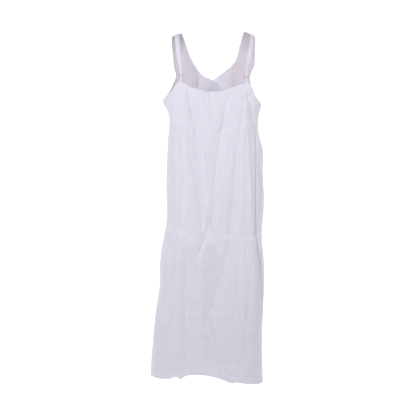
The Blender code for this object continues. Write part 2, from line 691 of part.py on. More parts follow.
def make_loop(strap, material):
    """A short strip folded over the ring's lower wire, with both ends sewn behind the casing."""
    side = strap.side
    centre, across, out = ring_place(strap)
    edge_z = level(BACK_TOP, side.sign * strap.low_x / size_at(strap.ring_z, side.name))
    wrap_out, wrap_up = round_the_wire(legs_above=False)
    leg_up = np.array(column(LOOP_LEGS, "up")) + edge_z - centre[2] + RING_RADIUS
    loop_out = np.concatenate([column(LOOP_LEGS, "inner"), wrap_out, column(LOOP_LEGS, "outer")[::-1]])
    loop_up = np.concatenate([leg_up, wrap_up, leg_up[::-1]])
    middles = centre + loop_out[:, None] * out + (loop_up - RING_RADIUS)[:, None] * [0, 0, 1]
    widths = np.concatenate([[LOOP_WIDTH] * 2, [STRAP_AT_RING] * (WRAP_STEPS + 2), [LOOP_WIDTH] * 2])
    ups = np.concatenate([[0.0, 0.0, -0.5], -np.ones(WRAP_STEPS), [-0.5, 0.0, 0.0]])
    clears = np.concatenate([[0.0] * 3, wrap_up, [0.0] * 3])
    directions = np.tile(across, (len(middles), 1))
    rows_of = [values[::-1] for values in (middles, directions, widths, ups, clears)]
    ribbon("strap_loop_" + side.name, strap, rows_of, material)


def make_ring(strap, material):
    centre, across, _out = ring_place(strap)
    bpy.ops.mesh.primitive_torus_add(
        major_radius=RING_RADIUS,
        minor_radius=RING_WIRE,
        major_segments=20,
        minor_segments=8,
        location=centre,
        rotation=(np.pi / 2, 0, np.arctan2(across[1], across[0])),
    )
    ring = bpy.context.object
    ring.name = "strap_ring_" + strap.side.name
    ring.data.materials.append(material)
    ring.data.shade_smooth()
    for collection in list(ring.users_collection):
        collection.objects.unlink(ring)
    bpy.data.collections["maxi_dress"].objects.link(ring)


clear_scene()
bpy.context.scene.collection.children.link(bpy.data.collections.new("maxi_dress"))
cotton = finish_of("white_cotton", COTTON, 0.85)
nickel = finish_of("nickel", NICKEL, 0.25, 1.0)
make_back(cotton)
make_front_skirt(cotton)
make_front_bodice(cotton)
make_facings(finish_of("facing_cotton", FACING_COTTON, 0.85))
for narrow in NARROW_STRAPS:
    make_narrow_strap(narrow, cotton)
    make_loop(narrow, cotton)
    make_ring(narrow, nickel)
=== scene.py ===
# %% [markdown]
# # A maxi dress in thin white cotton
#
# The dress hangs open in the shape it is worn in, with nobody inside. Its front is two panels that cross
# below a V neck and run up into wide shoulder straps. Two narrow straps come down the back from there, and
# small rings hold them to its top edge. Below the bust hangs a skirt in two gathered tiers.
#
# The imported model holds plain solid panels. This lesson lays a thin, finely folded shell of cloth on the
# same form for each of them, sews it with modelled stitches, and finishes it as cotton. In the whole file -Y
# is the back of the dress, which the camera faces, "left" is -X, and a length is in metres unless it says
# millimetres.

from collections import namedtuple
from functools import partial

import bpy
import numpy as np
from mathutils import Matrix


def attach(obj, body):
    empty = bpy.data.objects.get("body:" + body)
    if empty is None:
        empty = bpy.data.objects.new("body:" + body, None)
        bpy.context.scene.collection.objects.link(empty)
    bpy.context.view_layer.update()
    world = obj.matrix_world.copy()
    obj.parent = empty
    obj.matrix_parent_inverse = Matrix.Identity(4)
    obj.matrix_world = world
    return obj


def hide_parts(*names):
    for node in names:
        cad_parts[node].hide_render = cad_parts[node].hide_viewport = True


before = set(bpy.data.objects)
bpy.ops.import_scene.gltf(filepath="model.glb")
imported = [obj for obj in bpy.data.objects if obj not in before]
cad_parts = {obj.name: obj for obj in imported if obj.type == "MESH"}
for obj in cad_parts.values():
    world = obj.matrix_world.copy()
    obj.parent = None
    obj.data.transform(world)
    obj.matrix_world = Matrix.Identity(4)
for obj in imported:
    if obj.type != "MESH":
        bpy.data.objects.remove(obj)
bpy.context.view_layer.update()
BODY = "root"
print("packed nodes:", ", ".join(sorted(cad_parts)))

# %% [markdown]
# ## The camera
#
# The camera stands behind the dress at the height of its middle, far enough away for the sides to look
# nearly parallel. It comes first, because every later choice of detail depends on how large a millimetre is
# in the picture: here one pixel of a 416 pixel picture covers about 4 mm of cloth.

# %% Camera
CAMERA_PLACE = (-0.0195, -3.4, -0.6825)  # level with the middle of the dress
VIEW_WIDTH = 1.6224  # what the square picture covers, at the middle of the dress
SENSOR = 36.0


def make_camera():
    """Looks along +Y. The lens follows from similar triangles: lens / sensor = distance / width seen."""
    data = bpy.data.cameras.new("camera")
    data.sensor_width = SENSOR
    data.lens = SENSOR * -CAMERA_PLACE[1] / VIEW_WIDTH
    camera = bpy.data.objects.new("camera", data)
    camera.location = CAMERA_PLACE
    camera.rotation_euler = (np.pi / 2, 0, 0)
    bpy.context.scene.collection.objects.link(camera)
    bpy.context.scene.camera = camera
    return camera


print("lens in mm:", round(make_camera().data.lens, 1))

# %% [markdown]
# ## The worn form
#
# Cloth that is worn takes the form of a figure: an oval tube, wide from side to side and shallow from back
# to front. A stack of ovals could be drawn by hand. Here a short table gives four sizes at a few heights, a
# smooth curve joins them, and one formula turns a place on the cloth into a point in space, so that every
# panel, stitch and fold uses the same form.

# %% Sections of the form
def table(kind, *rows):
    """A tuple of rows with named columns."""
    return tuple(kind(*row) for row in rows)


Section = namedtuple("Section", "z left right back front")
SECTIONS = table(
    Section,
    (-0.085, 0.188, 0.190, 0.074, 0.092),
    (-0.170, 0.184, 0.186, 0.082, 0.104),
    (-0.225, 0.182, 0.183, 0.086, 0.1128),
    (-0.265, 0.195, 0.182, 0.089, 0.1174),
    (-0.281, 0.190, 0.188, 0.090, 0.1184),
    (-0.300, 0.180, 0.184, 0.091, 0.1185),
    (-0.325, 0.172, 0.178, 0.092, 0.1168),
    (-0.355, 0.170, 0.176, 0.094, 0.111),
    (-0.400, 0.174, 0.180, 0.096, 0.106),
    (-0.450, 0.177, 0.193, 0.098, 0.105),
    (-0.540, 0.181, 0.194, 0.103, 0.105),
    (-0.650, 0.181, 0.198, 0.111, 0.108),
    (-0.715, 0.180, 0.195, 0.115, 0.110),
    (-0.780, 0.189, 0.190, 0.118, 0.112),
    (-0.870, 0.204, 0.197, 0.121, 0.115),
    (-0.980, 0.208, 0.199, 0.124, 0.118),
    (-1.070, 0.221, 0.195, 0.127, 0.121),
    (-1.200, 0.234, 0.191, 0.129, 0.124),
    (-1.360, 0.246, 0.195, 0.131, 0.127),
)
ROUNDNESS = 3.4  # exponent of a section: 2 is an ellipse, more is squarer
STRAP_FOOT = -0.085  # above this level the form turns over the shoulder
STRAP_ARC = 0.116  # length of cloth from there to the top of the shoulder
STRAP_INNER = 0.123  # distance of a strap's inner edge from the middle, at the shoulder
QUARTER = 0.23  # length of cloth that a quarter of the tube takes, for the run of the threads


# %% Curves through a table
def ease(t):
    """0 to 1 as t goes from 0 to 1, level at both ends: 3t^2 - 2t^3."""
    t = np.clip(t, 0, 1)
    return t * t * (3 - 2 * t)


def bell(t):
    """1 at t = 0, dying away on both sides: e^(-t^2)."""
    return np.exp(-(t**2))


def column(rows, name):
    """One named column of a table as an array."""
    return np.array([getattr(row, name) for row in rows])


def through(at, knots, values):
    """Smooth curve through the knots: two lines, one along the slope at each end, eased into one another."""
    order = np.argsort(knots)
    knots = np.asarray(knots, float)[order]
    values = np.asarray(values, float)[order]
    steps = np.diff(knots)
    rises = np.diff(values) / steps
    slopes = np.concatenate([rises[:1], (rises[:-1] + rises[1:]) / 2, rises[-1:]])
    at = np.clip(at, knots[0], knots[-1])
    i = np.clip(np.searchsorted(knots, at, side="right") - 1, 0, len(steps) - 1)
    t = (at - knots[i]) / steps[i]
    from_start = values[i] + t * steps[i] * slopes[i]
    from_end = values[i + 1] - (1 - t) * steps[i] * slopes[i + 1]
    return from_start + (from_end - from_start) * ease(t)


def size_at(z, name):
    """One size of the form, such as its left half-width, at a height."""
    return through(z, column(SECTIONS, "z"), column(SECTIONS, name))


print("half-width at the waist:", round(float(size_at(-0.4, "left")), 3))


# %% Points of the form
def on_form(turn, z, facing):
    """Point of the tube at a turn from -1 (left side) to 1 (right side). facing is -1 at the back.

    x = half-width * sin(turn * 90 degrees), and y follows from |x / half-width|^n + |y / depth|^n = 1.
    """
    across = np.sin(np.clip(turn, -1, 1) * np.pi / 2)
    half_width = np.where(across < 0, size_at(z, "left"), size_at(z, "right"))
    depth = size_at(z, "back" if facing < 0 else "front")
    bulge = np.clip(1 - np.abs(across) ** ROUNDNESS, 0, 1) ** (1 / ROUNDNESS)
    return np.stack([half_width * across, facing * depth * bulge, z], axis=-1)


def run_along(points):
    """Distance of each point from the first one, along the row of points."""
    return np.concatenate([[0], np.cumsum(np.linalg.norm(np.diff(points, axis=0), axis=1))])


def unit(vectors):
    """The same directions with a length of 1."""
    return vectors / np.linalg.norm(vectors, axis=-1, keepdims=True)


def shoulder_height(x, side):
    """Height of the shoulder: it falls from the strap's inner edge towards the arm."""
    return side.top - side.slope * (np.abs(x) - STRAP_INNER)


def over_shoulder(turn, length, side):
    """Point of a front panel: on the tube up to STRAP_FOOT, then along a quarter of an ellipse."""
    point = on_form(turn, np.minimum(length, STRAP_FOOT), 1)
    angle = np.maximum(length - STRAP_FOOT, 0) / STRAP_ARC * np.pi / 2
    point[..., 1] *= np.cos(angle)
    point[..., 2] += (shoulder_height(point[..., 0], side) - STRAP_FOOT) * np.sin(angle)
    return point


# %% [markdown]
# ## Seam lines
#
# A maker cuts each tier a little curved, so a seam is a line whose height changes across the dress. Each
# line is a short table of heights against the share of the half-width. The hem dips to the right and has
# small notches where the cloth swings in.

# %% Lines
Level = namedtuple("Level", "across z")
BACK_TOP = table(
    Level,
    (-1.0, -0.265), (-0.94, -0.254), (-0.88, -0.2415), (-0.83, -0.2215), (-0.77, -0.208),
    (-0.68, -0.204), (-0.49, -0.2205), (-0.17, -0.237), (0.0, -0.240), (0.31, -0.229), (0.62, -0.209),
    (0.70, -0.2065), (0.80, -0.218), (0.92, -0.258), (1.0, -0.281),
)
BACK_EMPIRE = table(
    Level,
    (-1.0, -0.345), (-0.80, -0.357), (-0.43, -0.380), (0.0, -0.397), (0.51, -0.379), (0.75, -0.3635),
    (1.0, -0.345),
)
FRONT_EMPIRE = table(
    Level,
    (-1.0, -0.345), (-0.5, -0.370), (0.0, -0.382), (0.5, -0.370), (1.0, -0.345),
)
BACK_KNEE = table(
    Level,
    (-1.0, -0.7725), (-0.60, -0.781), (-0.30, -0.8065), (0.12, -0.8065), (0.34, -0.7935), (0.68, -0.7965),
    (1.0, -0.777),
)
FRONT_KNEE = table(
    Level,
    (-1.0, -0.7725), (-0.45, -0.793), (0.05, -0.800), (0.55, -0.795), (1.0, -0.777),
)
BACK_HEM = table(
    Level,
    (-1.0, -1.324), (-0.75, -1.328), (-0.65, -1.3245), (-0.60, -1.3185), (-0.55, -1.320),
    (-0.50, -1.3265), (-0.455, -1.319), (-0.41, -1.3135), (-0.33, -1.311), (0.0, -1.317), (0.18, -1.328),
    (0.34, -1.340), (0.37, -1.3415), (0.43, -1.3385), (0.60, -1.3445), (0.75, -1.348), (1.0, -1.350),
)
FRONT_HEM = table(
    Level,
    (-1.0, -1.324), (-0.62, -1.334), (-0.20, -1.327), (0.25, -1.341), (0.66, -1.338), (1.0, -1.350),
)
CENTRE_BACK = table(
    Level,
    (0.10, -0.808), (0.06, -1.00), (0.05, -1.05), (0.08, -1.20), (0.10, -1.35),
)


def level(line, across):
    """Height of a line at a share of the half-width."""
    return through(across, column(line, "across"), column(line, "z"))


def seam_turn(z):
    """Turn of the centre back seam of the lower tier, which leans a little, at a height."""
    across = through(z, column(CENTRE_BACK, "z"), column(CENTRE_BACK, "across"))
    return np.arcsin(across) * 2 / np.pi


# %% [markdown]
# ## Folds and creases
#
# Folds are what makes a tube look like cloth. A cloth simulation could find some, but not the ones that this
# dress has, so each is placed one by one. A soft fold is a bell across a line through three points. A
# sharper one is a "fold line": a path with a straight slope of its own width down to each side, and a narrow
# crease or a pressed pleat along it. A fold that is steep on one side and gentle on the other looks as if
# the cloth laps over itself there. Lengths, depths and spacing are uneven, in front as at the back.

# %% Large folds
Fold = namedtuple("Fold", "top_x top_z mid_x mid_z low_x low_z left right lift")
BACK_FOLDS = table(
    Fold,
    (0.121, -0.275, 0.140, -0.600, 0.160, -1.060, 0.020, 0.010, 0.0060),
    (0.112, -0.360, 0.109, -0.580, 0.099, -0.790, 0.018, 0.014, 0.0025),
    (-0.131, -0.500, -0.132, -0.640, -0.137, -0.760, 0.014, 0.010, 0.0025),
    (-0.046, -0.300, -0.034, -0.480, -0.019, -0.640, 0.012, 0.009, 0.0020),
    (0.146, -0.800, 0.128, -0.870, 0.114, -0.985, 0.010, 0.022, 0.0030),
    (-0.080, -1.060, -0.074, -1.180, -0.066, -1.310, 0.020, 0.026, 0.0030),
    (0.088, -1.010, 0.096, -1.130, 0.094, -1.270, 0.010, 0.014, 0.0020),
)
FRONT_FOLDS = table(
    Fold,
    (-0.118, -0.185, -0.098, -0.280, -0.074, -0.368, 0.014, 0.026, -0.0044),
    (-0.150, -0.245, -0.136, -0.300, -0.118, -0.362, 0.018, 0.018, 0.0037),
    (-0.072, -0.160, -0.046, -0.270, -0.022, -0.370, 0.022, 0.016, 0.0037),
    (0.112, -0.175, 0.092, -0.280, 0.066, -0.368, 0.026, 0.014, -0.0044),
    (0.146, -0.250, 0.134, -0.305, 0.120, -0.362, 0.018, 0.018, 0.0037),
    (-0.128, -0.400, -0.134, -0.640, -0.150, -0.900, 0.012, 0.018, -0.0063),
    (-0.086, -0.370, -0.079, -0.600, -0.062, -0.830, 0.008, 0.032, -0.0066),
    (-0.050, -0.390, -0.041, -0.560, -0.020, -0.760, 0.018, 0.012, 0.0050),
    (-0.012, -0.385, 0.002, -0.600, 0.012, -0.900, 0.016, 0.010, -0.0056),
    (0.044, -0.385, 0.052, -0.620, 0.040, -0.860, 0.014, 0.020, 0.0056),
    (0.082, -0.370, 0.092, -0.560, 0.110, -0.780, 0.024, 0.008, -0.0066),
    (0.140, -0.400, 0.148, -0.600, 0.150, -0.800, 0.014, 0.010, -0.0056),
    (-0.172, -0.830, -0.180, -1.010, -0.196, -1.290, 0.014, 0.018, -0.0075),
    (-0.110, -0.820, -0.104, -1.060, -0.118, -1.300, 0.024, 0.018, 0.0069),
    (-0.056, -0.850, -0.050, -1.060, -0.066, -1.300, 0.012, 0.022, -0.0075),
    (0.000, -0.860, -0.006, -1.080, 0.010, -1.300, 0.022, 0.018, 0.0063),
    (0.058, -0.840, 0.066, -1.040, 0.058, -1.310, 0.022, 0.012, -0.0075),
    (0.116, -0.830, 0.120, -1.060, 0.112, -1.320, 0.018, 0.022, 0.0063),
    (0.158, -0.860, 0.160, -1.060, 0.156, -1.320, 0.014, 0.012, -0.0063),
)
FOLD_FADE = 0.050  # length over which a fold rises from nothing at each end
SIDE_FADE = 0.10  # share of the half-width over which folds die out at a side seam


def fold_lift(x, z, folds):
    """Sum of the folds: a bell across each fold's line, wider on one side, and eased off at its ends."""
    lift = np.zeros(np.shape(x))
    for fold in folds:
        middle = through(z, (fold.top_z, fold.mid_z, fold.low_z), (fold.top_x, fold.mid_x, fold.low_x))
        off = x - middle
        width = np.where(off < 0, fold.left, fold.right)
        fade = min(FOLD_FADE, (fold.top_z - fold.low_z) / 2)
        ends = ease((fold.top_z + fade / 2 - z) / fade) * ease((z - fold.low_z + fade / 2) / fade)
        lift += fold.lift * bell(off / width) * ends
    return lift


# %% Fold lines
Line = namedtuple("Line", "height left right core path grow", defaults=[1])  # sizes in millimetres
# The creases of the back were placed in the main view, so their paths are pixels of it.
PIXEL = 3.785  # millimetres of the back that one of the 416 pixels covers
MIDDLE_PIXEL = 208  # the middle of the view, both ways
MIDDLE_X = -19.5  # and the place there, in millimetres: the camera's own
MIDDLE_Z = -682.5
BACK_CREASES = (
    # bodice and upper tier
    (-4, 15, 22, -2.6, ((187.5, 88), (189.2, 104), (191, 116), (193, 126), (194.8, 136))),
    (-12, 44, 60, -2.2, ((190, 98), (191.8, 112), (193.6, 124), (195, 136), (195.8, 148), (196.7, 162),
     (197.7, 176), (198.6, 190), (199.5, 204), (200.7, 218), (201.8, 230), (201, 243)), 0.4),
    (-3.5, 14, 40, -0.6, ((188, 150), (191, 160), (194, 172), (196.3, 184), (198, 196),
     (199.3, 208)), 0.6),
    (-3.2, 12, 12, -0.4, ((181, 98), (181.5, 130), (181.7, 166), (181.5, 190), (180, 214), (179.5, 228))),
    (1, 5, 5, 0.9, ((177.8, 89), (176, 103), (174.2, 110), (172.3, 120))),
    (1.8, 8, 8, 0.6, ((178, 110), (176.8, 124), (178.5, 140), (178.3, 156), (177.5, 174), (177.3, 190),
     (176.3, 206), (175.5, 218))),
    (-1.2, 7, 5, -1.6, ((176.7, 104), (175.2, 116), (173.8, 125), (172.5, 131))),
    (0.5, 6, 6, 0.9, ((184, 130), (183.8, 150), (184.5, 170), (183.8, 200), (183.5, 220), (184, 238))),
    (-2.2, 9, 10, -0.8, ((171, 158), (172.3, 172), (171.8, 186), (170.3, 198))),
    (-1.8, 9, 14, -1.5, ((197, 92), (198.5, 104), (199, 114), (199.5, 124), (200.8, 134), (202, 142))),
    (-1.4, 7, 7, -1.4, ((205.5, 94), (206.8, 104), (206, 114))),
    (-1, 6, 6, -1, ((207.8, 131), (206.5, 146))),
    (-1.8, 9, 10, -1.6, ((208.6, 91), (209.2, 104), (210.8, 114), (211.6, 125))),
    (-1.4, 7, 7, -1.4, ((218.6, 92), (219.8, 104))),
    (-2.6, 13, 24, -1.8, ((228, 92), (226.9, 100), (225.4, 108), (223.9, 116), (222.3, 124), (221, 131),
     (220, 139))),
    (-11, 36, 60, -1.8, ((225, 108), (222.5, 121), (220.5, 133), (218.8, 144), (217.8, 152), (216.6, 160),
     (215.2, 170), (214.4, 182), (214.4, 194), (213.8, 204), (212.2, 214), (209.9, 222), (207, 230),
     (203.5, 240), (199.5, 252), (196.5, 262)), 0.3),
    (-0.6, 5, 4, -1.2, ((210.7, 152), (209.2, 164), (209.3, 176), (211, 190), (213, 200))),
    (-3, 12, 16, -1.8, ((244.8, 90), (244, 102), (242.6, 112), (241.1, 122), (239.9, 132))),
    (-5, 16, 44, -2.2, ((241.4, 118), (239.6, 130), (238.6, 138), (237.7, 145), (236.7, 152),
     (235.6, 160), (234.6, 168), (233.8, 176), (233, 184), (233.1, 192), (232.4, 202), (230.9, 212),
     (229.8, 220), (229, 230), (228.4, 240))),
    (-4, 34, 22, 0, ((231.2, 190), (230.5, 208), (229.5, 222), (228.7, 244))),
    (2, 16, 10, 0.7, ((243, 126), (242.3, 142), (242, 158), (241.8, 176), (241.3, 196), (240.5, 212),
     (239.6, 226))),
    (-1.2, 6, 8, -1, ((246.6, 126), (245.5, 136), (245.2, 146), (245.2, 162))),
    (-1.4, 8, 9, -1.3, ((236, 91), (233.3, 101), (232.3, 110), (230, 119))),
    (-2.4, 6, 4.5, -2, ((247.4, 90), (249.2, 99), (251, 108), (252.8, 116), (254.4, 124), (255.8, 134))),
    (-4.2, 3.8, 3.8, -2.4, ((253.6, 112), (255.4, 122), (256.3, 132), (256.5, 142), (256.4, 152),
     (256.4, 168), (256.3, 184), (256.1, 200), (255.6, 216), (255.3, 232), (257.1, 242), (259.1, 254),
     (260.6, 268), (261.8, 284), (262.6, 300), (263, 320), (262.8, 340))),
    (-3.5, 4, 4.5, -1.3, ((256.5, 150), (258.2, 160), (259.8, 170), (261.4, 184), (263.2, 198),
     (265, 212))),
    (0.8, 5, 5, 0.8, ((252.7, 96), (254.3, 112), (255.5, 124))),
    (1.2, 6, 6, 1, ((209, 194), (206.5, 206), (205.5, 216), (204.8, 226), (203.6, 234))),
    (-1.2, 6, 6, -1.2, ((211.5, 216), (212.5, 226), (214.5, 236))),
    (-1, 6, 6, -1.2, ((233.4, 196), (235.2, 202), (236.8, 208))),
    (1.4, 14, 14, 0.3, ((229.5, 134), (226, 150), (223.8, 164), (223, 176))),
    (0.5, 4, 4, 0.8, ((190.2, 130), (191.2, 146))),
    (1.4, 9, 9, 0.4, ((202.5, 132), (203, 146), (204, 158), (204.5, 172))),
    (-0.7, 6, 6, -0.8, ((186.5, 128), (187.5, 146))),
    (0.6, 5, 5, 0.6, ((200.5, 100), (202.5, 118))),
    (0.7, 6, 6, 0.5, ((214, 98), (215.5, 116), (214.5, 128))),
    (-0.6, 5, 5, -0.8, ((222.5, 100), (221, 112))),
    (-0.6, 6, 6, -0.7, ((231, 134), (229, 150), (226.5, 164))),
    (-0.6, 5, 5, -0.9, ((204.5, 176), (207, 186), (208, 196))),
    (0.6, 6, 6, 0.5, ((221, 150), (219.5, 166))),
    (-0.7, 6, 6, -0.8, ((169.5, 124), (168.8, 140), (169.5, 156))),
    (0.8, 6, 6, 0.6, ((249, 168), (249.8, 190), (249.4, 214))),
    (-0.8, 8, 8, -0.5, ((224, 206), (222, 220), (220.5, 234))),
    (1.2, 10, 10, 0.3, ((219, 186), (218, 200), (217.5, 214))),
    # lower tier
    (-4, 16, 18, -0.6, ((168, 240), (171, 252), (170.5, 264), (169, 276), (168, 290), (166.5, 302))),
    (0.8, 5, 6, 1, ((163.5, 240), (162.5, 256), (162, 272), (161.5, 286))),
    (-7, 18, 60, -1.4, ((186.4, 242), (185.8, 262), (185.2, 276), (184.4, 288), (184.2, 300),
     (184.6, 310), (185.4, 322), (185.8, 336), (185.8, 350), (185, 370))),
    (-3.6, 36, 50, 0, ((184, 290), (185.5, 312), (187, 332), (187, 352), (185.5, 380))),
    (1.4, 9, 9, 0.7, ((184.5, 243), (187.5, 256), (189.7, 268), (191, 282), (190.8, 294))),
    (-1, 14, 12, -0.4, ((205.8, 232), (202.5, 242), (199.8, 250), (197, 260))),
    (1.8, 8, 8, 1.2, ((204.5, 243), (202.4, 252), (200.8, 262), (200, 272))),
    (-0.7, 4, 4, -1.2, ((191, 248), (193.5, 256), (196.3, 262))),
    (-1.2, 6, 6, -1.4, ((210, 243), (211, 252), (212.5, 259))),
    (-1.2, 9, 7, -0.9, ((213.5, 243), (216.5, 252), (216.5, 260), (215, 268), (211, 274))),
    (-16, 44, 16, 0, ((214, 244), (215, 264), (215.2, 284), (214, 300), (211, 320))),
    (-5, 18, 50, -1, ((228.4, 236), (227.9, 246), (226.8, 253), (225.2, 259), (223.4, 266), (222.2, 274),
     (219.8, 283), (216, 292), (213, 302)), 0.6),
    (-1.2, 8, 14, -1.5, ((216, 304), (211.4, 308.5), (207.3, 315), (204.6, 322), (202.8, 332))),
    (0.8, 6, 6, 0.8, ((199, 308), (204, 306.5), (210, 307.5))),
    (-1, 6, 6, -1, ((194, 296), (198, 303), (201.5, 311))),
    (2.2, 18, 9, 1, ((242, 240), (243, 252), (242.4, 264), (242, 280), (242.2, 296), (242.5, 312),
     (242.8, 322))),
    (-0.6, 6, 6, -0.9, ((250.5, 240), (247.3, 246), (245.4, 254), (244.8, 266))),
    (0.5, 5, 5, 0.6, ((249.5, 243), (247, 249), (246.2, 256))),
    (-2.8, 11, 18, -1.4, ((251.4, 278), (250.2, 288), (249, 298), (248.2, 308), (247.3, 318),
     (246.2, 328), (245.7, 338), (245, 348), (243.6, 358), (242.4, 370))),
    (-1.4, 8, 7, -1.2, ((235.8, 258), (237, 270), (237.4, 284), (237.2, 298))),
    (0.7, 8, 7, 0.7, ((233.6, 256), (234.6, 270), (235.1, 286), (235, 304), (234.5, 320))),
    (-1, 6, 6, -0.9, ((231.5, 284), (232, 300), (232.8, 316), (234.5, 334))),
    (0.9, 6, 6, 0.7, ((252.5, 262), (253.2, 276), (253.6, 290), (252, 298))),
    (-1.2, 7, 6, -0.8, ((250.7, 246), (251.6, 256), (252, 266))),
    (-1, 6, 8, -1, ((259, 326), (255.5, 338), (251.5, 348), (247, 358), (243.5, 371))),
    (0.4, 6, 6, 0.5, ((257, 342), (252, 351), (247, 361), (244, 371))),
    (-0.8, 6, 6, -0.9, ((261, 342), (256.5, 350), (251, 360), (245, 372))),
    (-1, 6, 6, -0.9, ((261, 352), (257, 360), (252, 368))),
    (-3, 8, 20, -0.9, ((217, 361), (222, 367), (228, 372.5), (234, 375.5), (242, 376.5))),
    (0.8, 8, 8, 0.5, ((222, 362), (228, 368), (235, 372))),
    (-1.2, 8, 6, -1, ((219, 340), (223, 347), (227, 353), (231, 361))),
    (2, 14, 14, 0.4, ((219, 346), (223, 354), (228, 364))),
    (-1, 10, 10, 0, ((185, 368), (195, 368), (205, 362), (212, 352))),
    (0.4, 5, 5, 0.6, ((186, 366), (194, 365.5), (202, 361.5), (209, 354))),
    (-1.4, 8, 8, -1, ((177, 306), (172, 318), (167.5, 332))),
    (-1.2, 8, 8, -0.8, ((175, 302), (168, 310), (160, 322))),
    (-1.3, 8, 8, -1, ((168, 338), (164, 346), (160, 356))),
    (1, 6, 8, 0.6, ((179, 302), (178, 316), (176.8, 330))),
    (-0.8, 6, 6, -0.8, ((157, 320), (160, 329))),
    (-0.7, 5, 5, -0.8, ((192, 272), (198, 279), (203, 284))),
    (-0.5, 5, 5, -0.6, ((192, 278), (197, 284))),
    (-0.9, 6, 6, -0.8, ((230, 358), (231, 368))),
    (-4, 20, 16, -0.3, ((238, 340), (239, 356), (239, 372))),
    (-0.8, 7, 6, -0.6, ((179, 286), (171, 297), (163, 306))),
    (-0.9, 7, 6, -0.8, ((174, 322), (166, 334), (158, 344))),
    (-0.8, 7, 7, -0.6, ((172, 340), (167, 352), (164, 364))),
    (-0.7, 6, 6, -0.6, ((164, 300), (158, 310), (154, 318))),
    (-0.6, 5, 5, -0.7, ((190, 262), (196, 268), (200, 273))),
    (-0.7, 6, 6, -0.6, ((187, 300), (193, 306), (198, 314))),
    (-0.8, 8, 8, -0.4, ((206, 340), (199, 352), (190, 360))),
    (-0.8, 8, 8, -0.4, ((223, 300), (225, 316), (226, 330))),
    (0.8, 9, 9, 0.3, ((229, 262), (228, 278), (226, 292))),
    (-1, 7, 7, -0.8, ((233, 340), (236, 352), (240, 364))),
    (-0.8, 6, 6, -0.6, ((219, 346), (222, 356), (224, 366))),
    (0.8, 9, 9, 0.3, ((192, 330), (196, 342), (202, 352))),
    (-11, 38, 14, 0, ((206, 306), (210, 324), (214, 340), (215, 358), (212, 374))),
)


def back_line(height, left, right, core, pixels, grow=1):
    """A fold line of the back. Its path is rounded to whole millimetres:

    x = MIDDLE_X + PIXEL * (pixels right of the middle), z = MIDDLE_Z - PIXEL * (pixels down from it).
    """
    path = tuple(
        (round(MIDDLE_X + PIXEL * (across - MIDDLE_PIXEL)), round(MIDDLE_Z - PIXEL * (down - MIDDLE_PIXEL)))
        for across, down in pixels
    )
    return Line(height, left, right, core, path, grow)


BACK_LINES = tuple(back_line(*crease) for crease in BACK_CREASES)
# Nothing shows the front's folds, so these are only likely ones; their paths are in millimetres.
FRONT_CREASES = (
    # bodice
    (-2, 12, 21, ((-140, -190), (-124, -262), (-98, -352))),
    (-1.9, 12, 12, ((-152, -262), (-138, -318), (-126, -352))),
    (-2.3, 18, 9, ((-104, -172), (-78, -262), (-52, -366))),
    (1.2, 9, 12, ((-88, -200), (-60, -300), (-44, -368))),
    (-1.5, 9, 9, ((-60, -226), (-36, -306), (-24, -372))),
    (-2.2, 21, 9, ((150, -205), (131, -280), (112, -354))),
    (-2.1, 9, 18, ((118, -180), (96, -268), (78, -360))),
    (1.4, 12, 9, ((92, -196), (70, -288), (50, -366))),
    # upper tier
    (-2.6, 9, 36, ((-118, -362), (-122, -470), (-136, -640))),
    (-3.1, 42, 9, ((-96, -368), (-90, -460), (-80, -560), (-64, -700), (-58, -820))),
    (1.4, 9, 12, ((-74, -374), (-78, -440), (-76, -520))),
    (-2.3, 9, 18, ((-48, -378), (-40, -470), (-24, -590))),
    (-1.5, 9, 9, ((-20, -382), (-16, -430))),
    (-2.9, 9, 45, ((-6, -384), (0, -500), (12, -640), (6, -780))),
    (1.7, 12, 12, ((24, -382), (30, -480), (26, -600))),
    (-2.4, 24, 9, ((46, -378), (52, -470), (40, -640), (30, -760))),
    (-1.7, 9, 9, ((72, -374), (78, -450))),
    (-3.2, 9, 42, ((90, -368), (96, -480), (112, -620), (118, -770))),
    (1.5, 9, 12, ((124, -360), (128, -450), (126, -560))),
    (-2, 15, 9, ((146, -400), (150, -520), (146, -700))),
    (-2.2, 9, 9, ((-30, -640), (-50, -720), (-66, -786))),
    (1.5, 9, 9, ((-22, -690), (-34, -760))),
    # lower tier
    (-2, 21, 12, ((-150, -800), (-162, -900), (-170, -1040))),
    (-3.1, 9, 36, ((-128, -800), (-120, -940), (-124, -1090), (-118, -1260))),
    (-1.7, 9, 9, ((-96, -806), (-100, -880))),
    (1.8, 9, 9, ((-80, -810), (-66, -900), (-62, -1010))),
    (-2.7, 30, 9, ((-58, -812), (-52, -960), (-60, -1110), (-78, -1270))),
    (-2, 9, 9, ((-20, -812), (-28, -900), (-24, -980))),
    (1.5, 9, 12, ((4, -812), (8, -900), (-4, -1010))),
    (-2.9, 9, 33, ((30, -810), (38, -930), (52, -1080), (56, -1240))),
    (-1.9, 9, 9, ((78, -806), (74, -880))),
    (1.7, 12, 9, ((96, -804), (104, -920), (98, -1060))),
    (-2.9, 27, 9, ((122, -800), (132, -940), (126, -1120), (112, -1290))),
    (-2.6, 9, 12, ((60, -1180), (30, -1250), (12, -1300))),
    (-1.9, 9, 9, ((-30, -1040), (4, -1072), (30, -1068))),
    (-2, 9, 9, ((-150, -1090), (-168, -1170), (-182, -1230))),
    (-2.4, 9, 9, ((150, -1180), (134, -1250), (120, -1306))),
)
RIDGE_CORE = 0.7  # of a fold that stands out
TROUGH_CORE = -1.2  # of one that turns in
DEEP_CORE = -1.6  # and of a deep one
DEEP = -2.7


def front_line(height, left, right, path):
    """A fold line of the front, with the core that its height calls for."""
    trough = DEEP_CORE if height <= DEEP else TROUGH_CORE
    return Line(height, left, right, RIDGE_CORE if height > 0 else trough, path)


